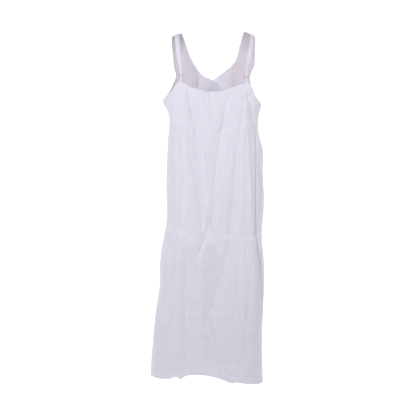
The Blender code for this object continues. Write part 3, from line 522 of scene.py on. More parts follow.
FRONT_LINES = tuple(front_line(*crease) for crease in FRONT_CREASES)
MM = 0.001
LINE_STEPS = 25  # points of the smooth curve through a path
LINE_REACH = 1.6  # widths after which a line's flank has run out
SHORT_ENDS = 0.12  # share of a path over which a narrow fold rises from nothing at each end
LONG_ENDS = 0.40  # and a wide one
ENDS_PER_WIDTH = 1.5  # length of an end, in widths of the fold
CORE_WIDTH = 2.2 * MM  # of the pressed crease that runs along a fold
CREST = 0.10  # share of a flank over which its crest is rounded off
FOOT = 0.12  # and its foot
FLANK_END = 0.5  # widths over which the last trace of a flank is eased out


def smooth_path(path):
    """Points evenly spread along a smooth curve through the corners of a path."""
    corners = np.array(path) * MM
    run = run_along(corners)
    at = np.linspace(0, run[-1], LINE_STEPS)
    return np.stack([through(at, run, corners[:, 0]), through(at, run, corners[:, 1])], axis=-1)


def from_path(x, z, path):
    """Distance from a path, positive to its right, and the nearest point's share of the way along it."""
    start = path[:-1]
    run = np.diff(path, axis=0)
    off_x = x[:, None] - start[:, 0]
    off_z = z[:, None] - start[:, 1]
    along = np.clip((off_x * run[:, 0] + off_z * run[:, 1]) / (run**2).sum(axis=1), 0, 1)
    distance = np.hypot(off_x - along * run[:, 0], off_z - along * run[:, 1])
    nearest = distance.argmin(axis=1)
    pick = (np.arange(len(x)), nearest)
    turned = run[nearest, 0] * off_z[pick] - run[nearest, 1] * off_x[pick]
    return np.copysign(distance[pick], turned), (nearest + along[pick]) / len(run)


def flank(t):
    """Straight slope from 1 at the crest, t = 0, to 0 at the foot, t = 1: r = 1 + c - sqrt(t^2 + c^2) rounds
    off the crest, and (r + sqrt(r^2 + f^2)) / 2 rounds off the foot.
    """
    rise = 1 + CREST - np.hypot(t, CREST)
    return (rise + np.hypot(rise, FOOT)) / 2 * ease((LINE_REACH - np.abs(t)) / FLANK_END)


def fading(share, ends):
    """1 in the middle of a path, eased down to 0 over a share of it at each end."""
    return ease(share / ends) * ease((1 - share) / ends)


def line_lift(x, z, lines):
    """Sum of the fold lines, and how double the cloth is along the creases that are pressed flat, which also
    paints a highlight along those ridges.

    A line is height * flank(d / width), with a width of its own on each side. Height and width change evenly
    along it and end as "grow" times what they were. Along it runs its core, core * e^-(d / CORE_WIDTH)^2: a
    groove if negative, and if positive a pressed pleat of doubled cloth, whose whiter tone is partly a
    painted highlight along the ridge.
    """
    lift = np.zeros(np.shape(x))
    double = np.zeros(np.shape(x))
    for line in lines:
        path = smooth_path(line.path)
        reach = LINE_REACH * max(line.left, line.right) * max(1, line.grow) * MM
        low = path.min(axis=0) - reach
        high = path.max(axis=0) + reach
        near = (x > low[0]) & (x < high[0]) & (z > low[1]) & (z < high[1])
        distance, share = from_path(x[near], z[near], path)
        size = 1 + (line.grow - 1) * share
        width = np.where(distance < 0, line.left, line.right) * size * MM
        length = np.linalg.norm(np.diff(path, axis=0), axis=1).sum()
        fade = np.clip(ENDS_PER_WIDTH * max(line.left, line.right) * MM / length, SHORT_ENDS, LONG_ENDS)
        core = line.core * bell(distance / CORE_WIDTH) * fading(share, SHORT_ENDS)
        lift[near] += (line.height * size * flank(distance / width) * fading(share, fade) + core) * MM
        # A ridge's core makes the cloth whiter: doubled cloth of a pressed pleat, and partly a painted
        # highlight along the ridge.
        double[near] += np.maximum(core, 0)
    return lift, np.minimum(double, 1)


# %% [markdown]
# ## Gathers and crumple
#
# A tier is wider than the seam that it hangs from, and two rows of thread draw it in. That makes many small
# ridges right below the stitching, each with its own height and length, and a few deeper tucks among them.
# Everywhere else thin cotton is never quite flat: it keeps a faint crumple from being worn and washed.

# %% Gathers
Gathers = namedtuple("Gathers", "line first last count lift reach seed")
BACK_GATHERS = table(
    Gathers,
    (BACK_TOP, -0.62, 0.60, 24, 0.0016, 0.030, 3),
    (BACK_EMPIRE, -0.96, 0.96, 46, 0.0019, 0.034, 4),
    (BACK_KNEE, -0.96, 0.96, 44, 0.0017, 0.028, 5),
)
FRONT_GATHERS = table(
    Gathers,
    (FRONT_EMPIRE, -0.96, 0.96, 46, 0.0019, 0.034, 6),
    (FRONT_KNEE, -0.96, 0.96, 44, 0.0017, 0.028, 7),
)
STITCHED_FLAT = 0.004  # a gather rises from nothing over this distance from its stitching
SWAY = 0.012  # share of the width by which the spacing of the gathers comes and goes
SWAY_WAVES = (13, 31)  # radians of sway across the gathered width
RIDGE_SHARES = (0.15, 1.0)  # lowest and highest ridge
RIDGE_POWER = 1.3  # above 1, low ridges are more common than high ones
REACH_SHARES = (0.4, 1.9)  # shortest and longest reach
GATHER_ENDS = 12  # a gathered stretch starts and stops over one part in 12 of its width


def gather_lift(across, z, gathers):
    """Ridges sin^2(pi * count * s) below a line, s being the share of the gathered width with a slow sway.

    Each ridge has a height and a reach of its own, and its ridge dies away as e^(-distance / reach).
    """
    lift = np.zeros(np.shape(z))
    for band in gathers:
        random = np.random.default_rng(band.seed)
        heights = random.uniform(*RIDGE_SHARES, band.count + 2) ** RIDGE_POWER
        reaches = random.uniform(*REACH_SHARES, band.count + 2)
        share = (across - band.first) / (band.last - band.first)
        slow, quick = (wave * share for wave in SWAY_WAVES)
        place = (share + SWAY * np.sin(slow + band.seed) + SWAY / 2 * np.sin(quick)) * band.count
        ridge = np.clip(np.floor(place).astype(int), 0, band.count + 1)
        distance = np.maximum(level(band.line, across) - z, 0)
        fade = ease(distance / STITCHED_FLAT) * np.exp(-distance / (band.reach * reaches[ridge]))
        inside = ease(share * GATHER_ENDS) * ease((1 - share) * GATHER_ENDS)
        lift += band.lift * heights[ridge] * np.sin(np.pi * place) ** 2 * fade * inside
    return lift


# %% Tucks
Tuck = namedtuple("Tuck", "line x length width depth")


def tucks_below(line, *rows):
    """Tucks that all hang from one line."""
    return tuple(Tuck(line, *row) for row in rows)


BACK_TUCKS = tucks_below(
    BACK_TOP,
    (-0.048, 0.045, 0.0045, 0.0016), (-0.030, 0.070, 0.0045, 0.0020), (-0.012, 0.060, 0.0050, 0.0024),
    (0.010, 0.080, 0.0050, 0.0022), (0.033, 0.050, 0.0045, 0.0018),
) + tucks_below(
    BACK_EMPIRE,
    (-0.1105, 0.080, 0.0050, 0.0022), (-0.0896, 0.100, 0.0055, 0.0024), (-0.0688, 0.060, 0.0050, 0.0018),
    (-0.0445, 0.090, 0.0055, 0.0022), (-0.0172, 0.120, 0.0055, 0.0026), (-0.0032, 0.070, 0.0045, 0.0020),
    (0.0586, 0.090, 0.0055, 0.0020), (0.0828, 0.110, 0.0060, 0.0024), (0.107, 0.080, 0.0050, 0.0022),
    (0.120, 0.060, 0.0045, 0.0018),
) + tucks_below(
    BACK_KNEE,
    (-0.0406, 0.060, 0.0050, 0.0026), (-0.0165, 0.075, 0.0055, 0.0028), (-0.0007, 0.050, 0.0045, 0.0024),
    (0.0197, 0.070, 0.0050, 0.0026), (0.0317, 0.055, 0.0045, 0.0022), (0.0558, 0.065, 0.0050, 0.0024),
)
FRONT_TUCKS = tucks_below(
    FRONT_EMPIRE,
    (-0.128, 0.070, 0.0050, 0.0020), (-0.101, 0.090, 0.0055, 0.0024), (-0.064, 0.070, 0.0050, 0.0020),
    (-0.031, 0.110, 0.0055, 0.0026), (0.012, 0.080, 0.0050, 0.0022), (0.038, 0.060, 0.0045, 0.0020),
    (0.071, 0.100, 0.0055, 0.0024), (0.117, 0.080, 0.0050, 0.0022),
) + tucks_below(
    FRONT_KNEE,
    (-0.120, 0.060, 0.0050, 0.0024), (-0.088, 0.080, 0.0055, 0.0026), (-0.037, 0.060, 0.0050, 0.0024),
    (0.004, 0.085, 0.0055, 0.0028), (0.047, 0.055, 0.0045, 0.0022), (0.084, 0.070, 0.0050, 0.0026),
    (0.126, 0.060, 0.0050, 0.0024),
)


def tuck_lift(x, across, z, tucks):
    """Troughs straight down from a line: -depth / cosh(2 * offset / width), times a bell of the distance."""
    lift = np.zeros(np.shape(z))
    for tuck in tucks:
        distance = np.maximum(level(tuck.line, across) - z, 0)
        fade = ease(distance / STITCHED_FLAT) * bell(distance / tuck.length)
        lift -= tuck.depth * fade / np.cosh(2 * (x - tuck.x) / tuck.width)
    return lift


# %% Crumple
Ground = namedtuple("Ground", "across along height")
CRUMPLE = table(
    Ground,
    (0.050, 0.110, 0.0012),
    (0.022, 0.045, 0.0005),
    (0.010, 0.018, 0.0002),
)
LATTICE = 97  # the ground repeats after this many steps


def lattice_row(heights, i, j, share):
    """Height along row j of a lattice, at a share of the way from point i to the next."""
    return heights[i % LATTICE, j % LATTICE] * (1 - share) + heights[(i + 1) % LATTICE, j % LATTICE] * share


def crumple(across, along, seed):
    """Uneven ground: for each size in the table, random heights on a lattice are joined by eased steps."""
    random = np.random.default_rng(seed)
    total = np.zeros(np.shape(across))
    for ground in CRUMPLE:
        heights = random.uniform(-1, 1, (LATTICE, LATTICE))
        a = across / ground.across
        b = along / ground.along
        i = np.floor(a).astype(int)
        j = np.floor(b).astype(int)
        s = ease(a - i)
        t = ease(b - j)
        low = lattice_row(heights, i, j, s)
        high = lattice_row(heights, i, j + 1, s)
        total += ground.height * (low * (1 - t) + high * t)
    return total


print("folds and fold lines:", len(BACK_FOLDS + FRONT_FOLDS), len(BACK_LINES + FRONT_LINES))

# %% [markdown]
# ## A sheet with a thickness
#
# A panel is one surface worked out on a grid. Real cloth has a back and an edge too, so the surface is
# copied inwards by the thickness of the cloth and the two are joined round the rim, which makes one closed
# shell. Where an edge is turned under and stitched, the cloth is double: the shell is thicker there, and an
# attribute named "layers" tells the material, because thin cotton looks whiter where it lies double.

# %% Shells
LAWN = 0.00045  # thickness of the cloth
SHARP = np.radians(50)  # a shell is smooth but for edges sharper than this


def normals_of(points):
    """Unit normals of a grid of points: the cross product of its two central differences."""
    along = np.gradient(points, axis=1)
    up = np.gradient(points, axis=0)
    return unit(np.cross(along, up))


def grid_quads(rows, columns, start=0):
    """Corner numbers of every cell of a grid whose points are numbered row by row."""
    number = np.arange(rows * columns).reshape(rows, columns) + start
    corners = (number[:-1, :-1], number[:-1, 1:], number[1:, 1:], number[1:, :-1])
    return np.stack(corners, axis=-1).reshape(-1, 4)


def rim_quads(rows, columns):
    """Cells that join the edge of a grid to the same edge of its copy, going once round."""
    number = np.arange(rows * columns).reshape(rows, columns)
    edge = np.concatenate([number[0, :-1], number[:-1, -1], number[-1, :0:-1], number[:0:-1, 0]])
    after = np.roll(edge, -1)
    copy = rows * columns
    return np.stack([edge, edge + copy, after + copy, after], axis=-1)


def new_piece(name, points, faces, material, uv=None, layers=None):
    """A mesh object at the origin, smooth but for its sharp edges, with its UV map and layers if given."""
    mesh = bpy.data.meshes.new(name)
    mesh.from_pydata(points.reshape(-1, 3).tolist(), [], faces)
    if uv is not None:
        corner = np.empty(len(mesh.loops), np.int32)
        mesh.loops.foreach_get("vertex_index", corner)
        mesh.uv_layers.new(name="threads").data.foreach_set("uv", uv.reshape(-1, 2)[corner].ravel())
    if layers is not None:
        mesh.attributes.new("layers", "FLOAT", "POINT").data.foreach_set("value", layers.ravel())
    mesh.shade_smooth()
    mesh.set_sharp_from_angle(angle=SHARP)
    mesh.materials.append(material)
    piece = bpy.data.objects.new(name, mesh)
    bpy.context.scene.collection.objects.link(piece)
    return piece


def shell(name, points, thickness, uv, layers, material):
    """The grid, its copy moved inwards by the thickness, and the rim between them."""
    rows, columns = points.shape[:2]
    inner = points - normals_of(points) * thickness[..., None]
    front = grid_quads(rows, columns)
    back = grid_quads(rows, columns, rows * columns)[:, ::-1]
    faces = np.concatenate([front, back, rim_quads(rows, columns)]).tolist()
    both = np.stack([points, inner])
    return new_piece(name, both, faces, material, np.stack([uv, uv]), np.stack([layers, layers]))


# %% Rows and columns where they are needed
COARSE = 0.0030  # spacing of the grid on open cloth
FINE = 0.0007  # and at an edge or a row of stitches
NEAR = 0.0045  # how far the fine spacing reaches
TRIAL_STEPS = 4001  # steps of the sum below


def spaced(length, marks, coarse=COARSE):
    """Places from 0 to length, close together near each mark.

    The spacing is coarse, less (coarse - FINE) times a bell at the nearest mark. The number of steps up to a
    place is the sum of 1 / spacing, so equal steps of that sum give the places.
    """
    at = np.linspace(0, length, TRIAL_STEPS)
    nearest = np.min([np.abs(at - mark) for mark in marks], axis=0)
    spacing = coarse - (coarse - FINE) * bell(nearest / NEAR)
    steps = np.concatenate([[0], np.cumsum((1 / spacing[:-1] + 1 / spacing[1:]) / 2 * np.diff(at))])
    return np.interp(np.linspace(0, steps[-1], int(np.ceil(steps[-1])) + 1), steps, at)


print("rows over 0.53 m with three marks:", len(spaced(0.53, (0, 0.024, 0.53))))

# %% [markdown]
# ## Cotton
#
# The dress is cotton lawn: a thin plain weave of fine, even yarn, bleached, washed soft and hardly pressed.
# It is matt, with a little sheen where the light grazes its fuzz, and it looks a touch whiter where it is
# double. It is thin enough to let some light through, so the inside of the dress isn't dark. A picture of
# cloth could be laid over the panels; here the weave is worked out instead, so that it follows the threads
# of each panel at a steady scale and is the same from every side.

# %% Colours and nodes
def linear(hex_colour):
    """RGBA from a hex sRGB colour: c / 12.92 below 0.04045, else ((c + 0.055) / 1.055)^2.4."""
    srgb = np.array([int(hex_colour[i : i + 2], 16) for i in (0, 2, 4)]) / 255
    rgb = np.where(srgb <= 0.04045, srgb / 12.92, ((srgb + 0.055) / 1.055) ** 2.4)
    return (*rgb.tolist(), 1.0)


def add_node(material, kind, links=None, **settings):
    """Adds a node. links gives an input, by name or number, its value or the output that feeds it."""
    node = material.node_tree.nodes.new(kind)
    for name, value in settings.items():
        setattr(node, name, value)
    for name, value in (links or {}).items():
        if isinstance(value, bpy.types.NodeSocket):
            material.node_tree.links.new(value, node.inputs[name])
        else:
            node.inputs[name].default_value = value
    return node


def noise(material, place, scale, detail=2.0):
    """Output of a noise texture of a scale, in a space."""
    links = {"Vector": place, "Scale": scale, "Detail": detail}
    return add_node(material, "ShaderNodeTexNoise", links).outputs["Fac"]


def mottle(material, shader, scale, first, second):
    """A base colour that wanders between two colours, by noise of a scale in the object's own space."""
    place = add_node(material, "ShaderNodeTexCoord").outputs["Object"]
    ramp = add_node(material, "ShaderNodeValToRGB", {"Fac": noise(material, place, scale)})
    ramp.color_ramp.elements[0].color = linear(first)
    ramp.color_ramp.elements[1].color = linear(second)
    material.node_tree.links.new(ramp.outputs[0], shader.inputs["Base Color"])


def mixed_colour(material, factor, first, second):
    """Output of a node that mixes two colours by a factor; 0, 6 and 7 are its inputs for colours."""
    links = {0: factor, 6: first, 7: second}
    return add_node(material, "ShaderNodeMix", links, data_type="RGBA").outputs[2]


def new_material(name, **constants):
    """A Principled material whose constant values are set on the shader's own sockets."""
    material = bpy.data.materials.new(name)
    material.use_nodes = True
    shader = material.node_tree.nodes["Principled BSDF"]
    for socket, value in constants.items():
        shader.inputs[socket.replace("_", " ")].default_value = value
    return material, shader


# %% Cotton cloth
THREAD = 0.0009  # drawn spacing of the threads: the real 0.3 mm is too fine to show in these views
SLUB = 0.0012  # width of a thicker yarn
SLUBS_ALONG = 25.0  # slubs to the metre along the warp
CLOUDS = 34.0  # soft patches of tone to the metre
RELIEF = 0.00012  # height of the weave
SLUB_HEIGHT = 0.6  # of the slubs, as a share of that
FIBRES = 2500.0  # changes of tone to the metre in sewing thread
RUBBING = 1400.0  # rubbing marks to the metre on the rings
BAND = 0.31416  # a wave texture of scale s repeats every 0.31416 / s


def woven(name, single, double, shade, bump):
    """Plain-woven cotton: crossing threads, faint slubs along the warp, and whiter where it is double."""
    material, shader = new_material(
        name,
        Roughness=0.88,
        IOR=1.46,
        Specular_IOR_Level=0.25,
        Sheen_Weight=0.12,
        Sheen_Roughness=0.5,
        Subsurface_Weight=0.35,
        Subsurface_Radius=(1.0, 1.0, 1.0),
        Subsurface_Scale=0.0015,
    )
    threads = add_node(material, "ShaderNodeUVMap", uv_map="threads").outputs["UV"]
    yarn = {"Vector": threads, "Scale": BAND / THREAD, "Distortion": 0.6, "Detail": 1.0, "Detail Scale": 0.4}
    waves = [
        add_node(material, "ShaderNodeTexWave", yarn, bands_direction=direction).outputs["Fac"]
        for direction in ("X", "Y")
    ]
    weave = add_node(material, "ShaderNodeMath", {0: waves[0], 1: waves[1]}, operation="MAXIMUM").outputs[0]
    drawn_out = {"Vector": threads, "Scale": (1 / SLUB, SLUBS_ALONG, 1.0)}
    stretched = add_node(material, "ShaderNodeMapping", drawn_out).outputs[0]
    slubs = noise(material, stretched, 1.0)
    cloudy = noise(material, threads, CLOUDS, 3.0)
    layers = add_node(material, "ShaderNodeAttribute", attribute_name="layers").outputs["Fac"]
    tone = mixed_colour(material, layers, linear(single), linear(double))
    for pattern, low, high, amount in ((slubs, 0.42, 0.7, 0.28), (cloudy, 0.4, 0.75, 0.35)):
        between = {"Value": pattern, "From Min": low, "From Max": high, "To Max": amount}
        factor = add_node(material, "ShaderNodeMapRange", between).outputs[0]
        tone = mixed_colour(material, factor, tone, linear(shade))
    material.node_tree.links.new(tone, shader.inputs["Base Color"])
    raised = {0: slubs, 1: SLUB_HEIGHT, 2: weave}
    height = add_node(material, "ShaderNodeMath", raised, operation="MULTIPLY_ADD").outputs[0]
    relief = add_node(material, "ShaderNodeBump", {"Height": height, "Strength": bump, "Distance": RELIEF})
    material.node_tree.links.new(relief.outputs[0], shader.inputs["Normal"])
    return material


# The double tone also paints a whiter highlight along the ridge cores of the fold lines.
COTTON = woven("cotton_lawn_plain_weave", "D8D5E1", "DEDBE6", "CECAD9", 0.5)
# The facing's tones are painted warmer and greyer than the cotton's: painted pinkish bounce light inside the
# wide straps.
FACING_COTTON_PAINTED_BOUNCE = woven("facing_cotton_painted_pink_bounce", "D9D1DA", "DFD8E0", "CFC4CE", 0.5)

# %% Thread and ring metal
# Spun polyester sewing thread: brighter and smoother than the cloth, so a row of stitches catches the light.
THREAD_WHITE, thread_shader = new_material(
    "spun_polyester_thread", Roughness=0.55, IOR=1.55, Specular_IOR_Level=0.4, Sheen_Weight=0.2
)
mottle(THREAD_WHITE, thread_shader, FIBRES, "D6D3E1", "E6E4EE")

# Nickel-plated wire, barrel-polished: a grey mirror with fine rubbing marks that dull it a little.
NICKEL, nickel_shader = new_material("nickel_plated_wire", Metallic=1.0)
nickel_shader.inputs["Base Color"].default_value = linear("8F8B88")
place = add_node(NICKEL, "ShaderNodeTexCoord").outputs["Object"]
rubbed = noise(NICKEL, place, RUBBING, 4.0)
dull = add_node(NICKEL, "ShaderNodeMapRange", {"Value": rubbed, "To Min": 0.18, "To Max": 0.38}).outputs[0]
NICKEL.node_tree.links.new(dull, nickel_shader.inputs["Roughness"])
print("materials:", len(bpy.data.materials))

# %% [markdown]
# ## From a place on the cloth to a point
#
# A panel is described by two functions. One says where a place (u, v) of the cut cloth lies on the form, as
# a turn and a height. The other lifts it off the form by folds, creases, gathers and crumple, by the roll of
# the cloth into each seam, and by the dimple that a row of stitches pulls in. Stitches use the same
# functions, so they lie on the cloth.

# %% Seam rolls and stitch dimples
ROLL_DEPTH = 0.0010  # how far the cloth turns in at a seam
ROLL_WIDTH = 0.0012
CENTRE_ROLL = 0.3  # share of the roll at the sides of the two panels that meet in the centre back seam
WELT = 0.0004  # height of the soft ridge over the seam allowance
WELT_AT = 0.0045
WELT_WIDTH = 0.003
DIMPLE = 0.0003  # depth of the groove along a row of stitches
DIMPLE_WIDTH = 0.0010
DIMPLE_UNEVEN = 0.4  # share by which its depth comes and goes
DIMPLE_LENGTH = 0.009  # from one deeper place to the next
HEM_BAND = 0.025
HEM_STITCH = 0.0235
CASING = 0.015
CASING_STITCH = 0.0138
EDGE_STITCH = 0.0022
ABOVE_SEAM = EDGE_STITCH * 1.4  # from a seam up to the row of stitches above it
BESIDE_CENTRE = 0.0045  # from the centre back seam to the row beside it
ALLOWANCE = 0.010  # cloth folded back behind a seam
PRESSED = 0.003  # width of the allowance that is pressed flat beside the centre back seam


def seam_roll(distance):
    """Turns in at a seam and swells over its allowance: -depth * bell(d / width) + welt * a second bell."""
    return -ROLL_DEPTH * bell(distance / ROLL_WIDTH) + WELT * bell((distance - WELT_AT) / WELT_WIDTH)


def stitch_dimple(distance, along, where):
    """A shallow groove along a row of stitches, a little deeper every 9 mm."""
    pull = 1 + DIMPLE_UNEVEN * np.sin(along * 2 * np.pi / DIMPLE_LENGTH)
    return -DIMPLE * pull * bell((distance - where) / DIMPLE_WIDTH)


def base_lift(point, facing):
    """Folds and creases, which both die out at the side seams, and the share of the half-width."""
    x = point[..., 0]
    z = point[..., 2]
    half_width = np.where(x < 0, size_at(z, "left"), size_at(z, "right"))
    across = np.clip(x / half_width, -1, 1)
    back = facing < 0
    lift = fold_lift(x, z, BACK_FOLDS if back else FRONT_FOLDS)
    lift += line_lift(x, z, BACK_LINES if back else FRONT_LINES)[0]
    return ease((1 - np.abs(across)) / SIDE_FADE) * lift, across


# %% Panels of the tube
# height and width are rounded sizes of a panel without its fine folds: they turn shares into distances.
# start and end say that the left or right edge is the centre back seam.
Tier = namedtuple("Tier", "node facing low high height width start end top bottom seed")
TIERS = table(
    Tier,
    ("back_bodice", -1, BACK_EMPIRE, BACK_TOP, 0.150, 0.46, None, None, "casing", "seam", 11),
    ("back_skirt_upper", -1, BACK_KNEE, BACK_EMPIRE, 0.408, 0.47, None, None, "seam", "seam", 12),
    ("back_skirt_lower_left", -1, BACK_HEM, BACK_KNEE, 0.520, 0.26, None, -1, "seam", "hem", 13),
    ("back_skirt_lower_right", -1, BACK_HEM, BACK_KNEE, 0.530, 0.23, 1, None, "seam", "hem", 13),
    ("front_skirt_upper", 1, FRONT_KNEE, FRONT_EMPIRE, 0.412, 0.47, None, None, "seam", "seam", 14),
    ("front_skirt_lower", 1, FRONT_HEM, FRONT_KNEE, 0.535, 0.49, None, None, "seam", "hem", 15),
)
EDGE_ROWS = 0.030  # rows this close to an edge keep their distance from it
COLUMNS = {-1: 0.0019, 1: 0.0029}  # finer at the back, where more small folds are modelled
CALM_ROWS = 0.02  # crumple dies out over this distance from an upper or lower edge
CALM_SIDES = 0.03  # and from a side
SMALL_STEP = 1e-4  # of a share of a panel, to find a normal
SOFT_EDGE = 0.0012  # width over which doubled cloth becomes single
HEM_LAYERS = 0.5  # how much whiter and thicker each kind of doubled cloth is, of 1
CASING_LAYERS = 0.1
SEAM_LAYERS = 0.55
CENTRE_LAYERS = 0.35


def where_on_tube(tier, u, v):
    """Turn and height of the place (u, v): rows keep their distance from the lower and upper edge close to
    them, and spread evenly over what is left between.
    """
    share = u if tier.facing < 0 else 1 - u
    turn = 2 * share - 1
    up = v * tier.height
    between = np.clip((up - EDGE_ROWS) / (tier.height - 2 * EDGE_ROWS), 0, 1)
    near = np.minimum(up, EDGE_ROWS) + np.maximum(up - tier.height + EDGE_ROWS, 0)
    for _ in range(2):  # the second pass settles a leaning centre seam, whose turn depends on the height
        across = np.sin(turn * np.pi / 2)
        low = level(tier.low, across)
        z = low + near + (level(tier.high, across) - low - 2 * EDGE_ROWS) * between
        first = seam_turn(z) if tier.start else -1
        last = seam_turn(z) if tier.end else 1
        turn = first + (last - first) * share
    return turn, z


def tube_point(tier, u, v):
    """Point of the bare form at the place (u, v) of a tube panel."""
    return on_form(*where_on_tube(tier, u, v), tier.facing)


def normal_at(place, u, v, step):
    """Unit normal of the surface place(u, v): the cross product of a small step along it and one up."""
    along = place(np.clip(u + step, 0, 1), v) - place(np.clip(u - step, 0, 1), v)
    up = place(u, np.clip(v + step, 0, 1)) - place(u, np.clip(v - step, 0, 1))
    return unit(np.cross(along, up))


def lifted(place, lift_of, u, v):
    """place(u, v), moved along its normal by lift_of(point, u, v)."""
    point = place(u, v)
    return point + normal_at(place, u, v, SMALL_STEP) * lift_of(point, u, v)[..., None]


def tube_lift(tier, point, u, v):
    """Everything that stands off the tube, and the rolls and dimples along the panel's own edges."""
    lift, across = base_lift(point, tier.facing)
    back = tier.facing < 0
    lift += gather_lift(across, point[..., 2], BACK_GATHERS if back else FRONT_GATHERS)
    lift += tuck_lift(point[..., 0], across, point[..., 2], BACK_TUCKS if back else FRONT_TUCKS)
    below_top = (1 - v) * tier.height
    above_low = v * tier.height
    from_side = np.minimum(u, 1 - u) * tier.width
    calm = ease(np.minimum(above_low, below_top) / CALM_ROWS) * ease(from_side / CALM_SIDES)
    lift += crumple(point[..., 0], point[..., 2], tier.seed) * calm
    lift += seam_roll(from_side) * (CENTRE_ROLL if tier.start or tier.end else 1)
    lift += seam_roll(above_low) * (tier.bottom == "seam")
    along = u * tier.width
    if tier.top == "seam":
        lift += seam_roll(below_top)
    else:
        lift += stitch_dimple(below_top, along, CASING_STITCH)
    if tier.bottom == "hem":
        lift += stitch_dimple(above_low, along, HEM_STITCH)
    return lift


def tube_surface(tier, u, v):
    """Finished surface of a tube panel at places (u, v)."""
    return lifted(partial(tube_point, tier), partial(tube_lift, tier), u, v)


def doubled(width, distance):
    """1 where cloth is doubled, up to a width from its edge, and 0 beyond, with a soft step between."""
    return ease((width - distance) / SOFT_EDGE + 0.5)


def tube_layers(tier, point, u, v):
    """How double the cloth is, from 0 to 1, in a hem, casing or allowance and at pressed pleats, whose
    whiter tone is partly a painted highlight along the ridge.
    """
    edges = {
        "hem": (HEM_BAND, HEM_LAYERS),
        "casing": (CASING, CASING_LAYERS),
        "seam": (ALLOWANCE, SEAM_LAYERS),
    }
    lines = BACK_LINES if tier.facing < 0 else FRONT_LINES
    layers = line_lift(point[..., 0], point[..., 2], lines)[1]
    for distance, kind in (((1 - v) * tier.height, tier.top), (v * tier.height, tier.bottom)):
        width, amount = edges[kind]
        layers = np.maximum(layers, amount * doubled(width, distance))
    if tier.start or tier.end:
        from_centre = (u if tier.start else 1 - u) * tier.width
        layers = np.maximum(layers, CENTRE_LAYERS * doubled(PRESSED, from_centre))
    return layers


# %% [markdown]
# ## Making the tube: back, and both tiers of the skirt
#
# These six panels run from one side seam to the other, or to the centre back seam. They meet edge to edge:
# both sides of a seam come from the same line, and both roll in at it, so the seam shows as a soft groove.

# %% Tube panels
PIECES = {}


def finish_piece(piece, slot, *nodes):
    """The piece rides on the one body and stands for its nodes. slot is not used."""
    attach(piece, BODY)
    if nodes:
        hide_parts(*nodes)
    PIECES[piece.name] = piece
    return piece


def cloth_piece(node, points, turn, length, layers, material=COTTON, slot="cotton"):
    """The shell that stands for a node. Its threads run with the turn and the length of cloth."""
    uv = np.stack([turn * QUARTER, length], axis=-1)
    piece = shell("cloth_" + node, points, LAWN * (1 + layers), uv, layers, material)
    return finish_piece(piece, slot, node)


def make_tube_panel(tier):
    """A back panel or a front tier, its rows closest at the seams and stitches."""
    marks = {"hem": (0, HEM_STITCH), "casing": (0, CASING_STITCH), "seam": (0, WELT_AT / 2)}
    row_marks = [*marks[tier.bottom], *(tier.height - mark for mark in marks[tier.top])]
    v = spaced(tier.height, row_marks) / tier.height
    u = spaced(tier.width, (0, tier.width), COLUMNS[tier.facing]) / tier.width
    u, v = np.meshgrid(u, v)
    points = tube_surface(tier, u, v)
    return cloth_piece(tier.node, points, *where_on_tube(tier, u, v), tube_layers(tier, points, u, v))


for tier in TIERS:
    panel = make_tube_panel(tier)
    print(panel.name, len(panel.data.polygons), "faces")

# %% [markdown]
# ## The crossing front
#
# Each half of the front starts at the seam below the bust, runs up to the neck and goes on as a shoulder
# strap, all cut in one. It is a ribbon of changing width, so its two edges are given by a table, and the
# cloth runs straight between them. The left half laps over the right one, which therefore lies a few
# millimetres further in where they cross.

# %% Edges of the front panels
Edges = namedtuple("Edges", "step outer_x outer_z inner_x inner_z")
UNDERARM = 0.25  # share of a front panel's length at which its armhole starts
LEFT_EDGES = table(
    Edges,
    (0.000, 0.1750, -0.345, -0.122, -0.361),
    (0.125, 0.1900, -0.303, -0.080, -0.296),
    (0.250, 0.1970, -0.262, -0.040, -0.222),
    (0.335, 0.1760, -0.226, 0.001, -0.170),
    (0.411, 0.1595, -0.188, 0.0295, -0.157),
    (0.487, 0.1487, -0.151, 0.0500, -0.139),
    (0.544, 0.1545, -0.130, 0.0690, -0.113),
    (0.639, 0.1585, -0.098, 0.0870, -0.085),
    (0.753, 0.1615, -0.060, 0.1010, -0.054),
    (0.867, 0.1635, -0.020, 0.1130, -0.018),
    (1.000, 0.1600, 0.035, 0.1230, 0.035),
)
RIGHT_EDGES = table(
    Edges,
    (0.000, 0.1800, -0.345, -0.122, -0.361),
    (0.125, 0.1900, -0.312, -0.075, -0.280),
    (0.250, 0.1890, -0.281, -0.035, -0.206),
    (0.335, 0.1640, -0.226, 0.000, -0.1695),
    (0.411, 0.1535, -0.186, 0.0287, -0.1485),
    (0.487, 0.1510, -0.150, 0.0566, -0.126),
    (0.544, 0.1625, -0.124, 0.0760, -0.110),
    (0.639, 0.1675, -0.094, 0.0930, -0.085),
    (0.753, 0.1680, -0.060, 0.1040, -0.054),
    (0.867, 0.1670, -0.020, 0.1140, -0.018),
    (1.000, 0.1650, 0.035, 0.1225, 0.035),
)
Side = namedtuple("Side", "name other sign edges top slope facing_x facing_lean seed")
LEFT = Side("left", "right", -1, LEFT_EDGES, -0.001, 0.34, 0.0690, 0.345, 21)
RIGHT = Side("right", "left", 1, RIGHT_EDGES, 0.006, 0.49, 0.0760, 0.297, 22)
SEAM_REACH = 0.30  # share of a front panel's length over which its rows bend to the seam below the bust
WRAP_DEPTH = 0.0045  # how far the right half lies inside the left one
WRAP_SEWN = 0.0012  # and where both are held by the seam below the bust
WRAP_OPENS = 0.045  # distance from that seam over which the one becomes the other
WRAP_FADE = 0.032  # width over which the right half steps in, beyond the left one's edge
FRONT_LENGTH = 0.45  # of a front panel, along its middle
NECK_TURN = 0.008  # width of the turned edge along the neck and armhole
FRONT_ALLOWANCE = 0.75  # how much whiter and thicker its allowance is, of 1
FRONT_CALM = 0.015  # crumple dies out over this distance from a turned edge
ARM_FADE = 0.03  # share of a panel's length over which a side seam gives way to an armhole
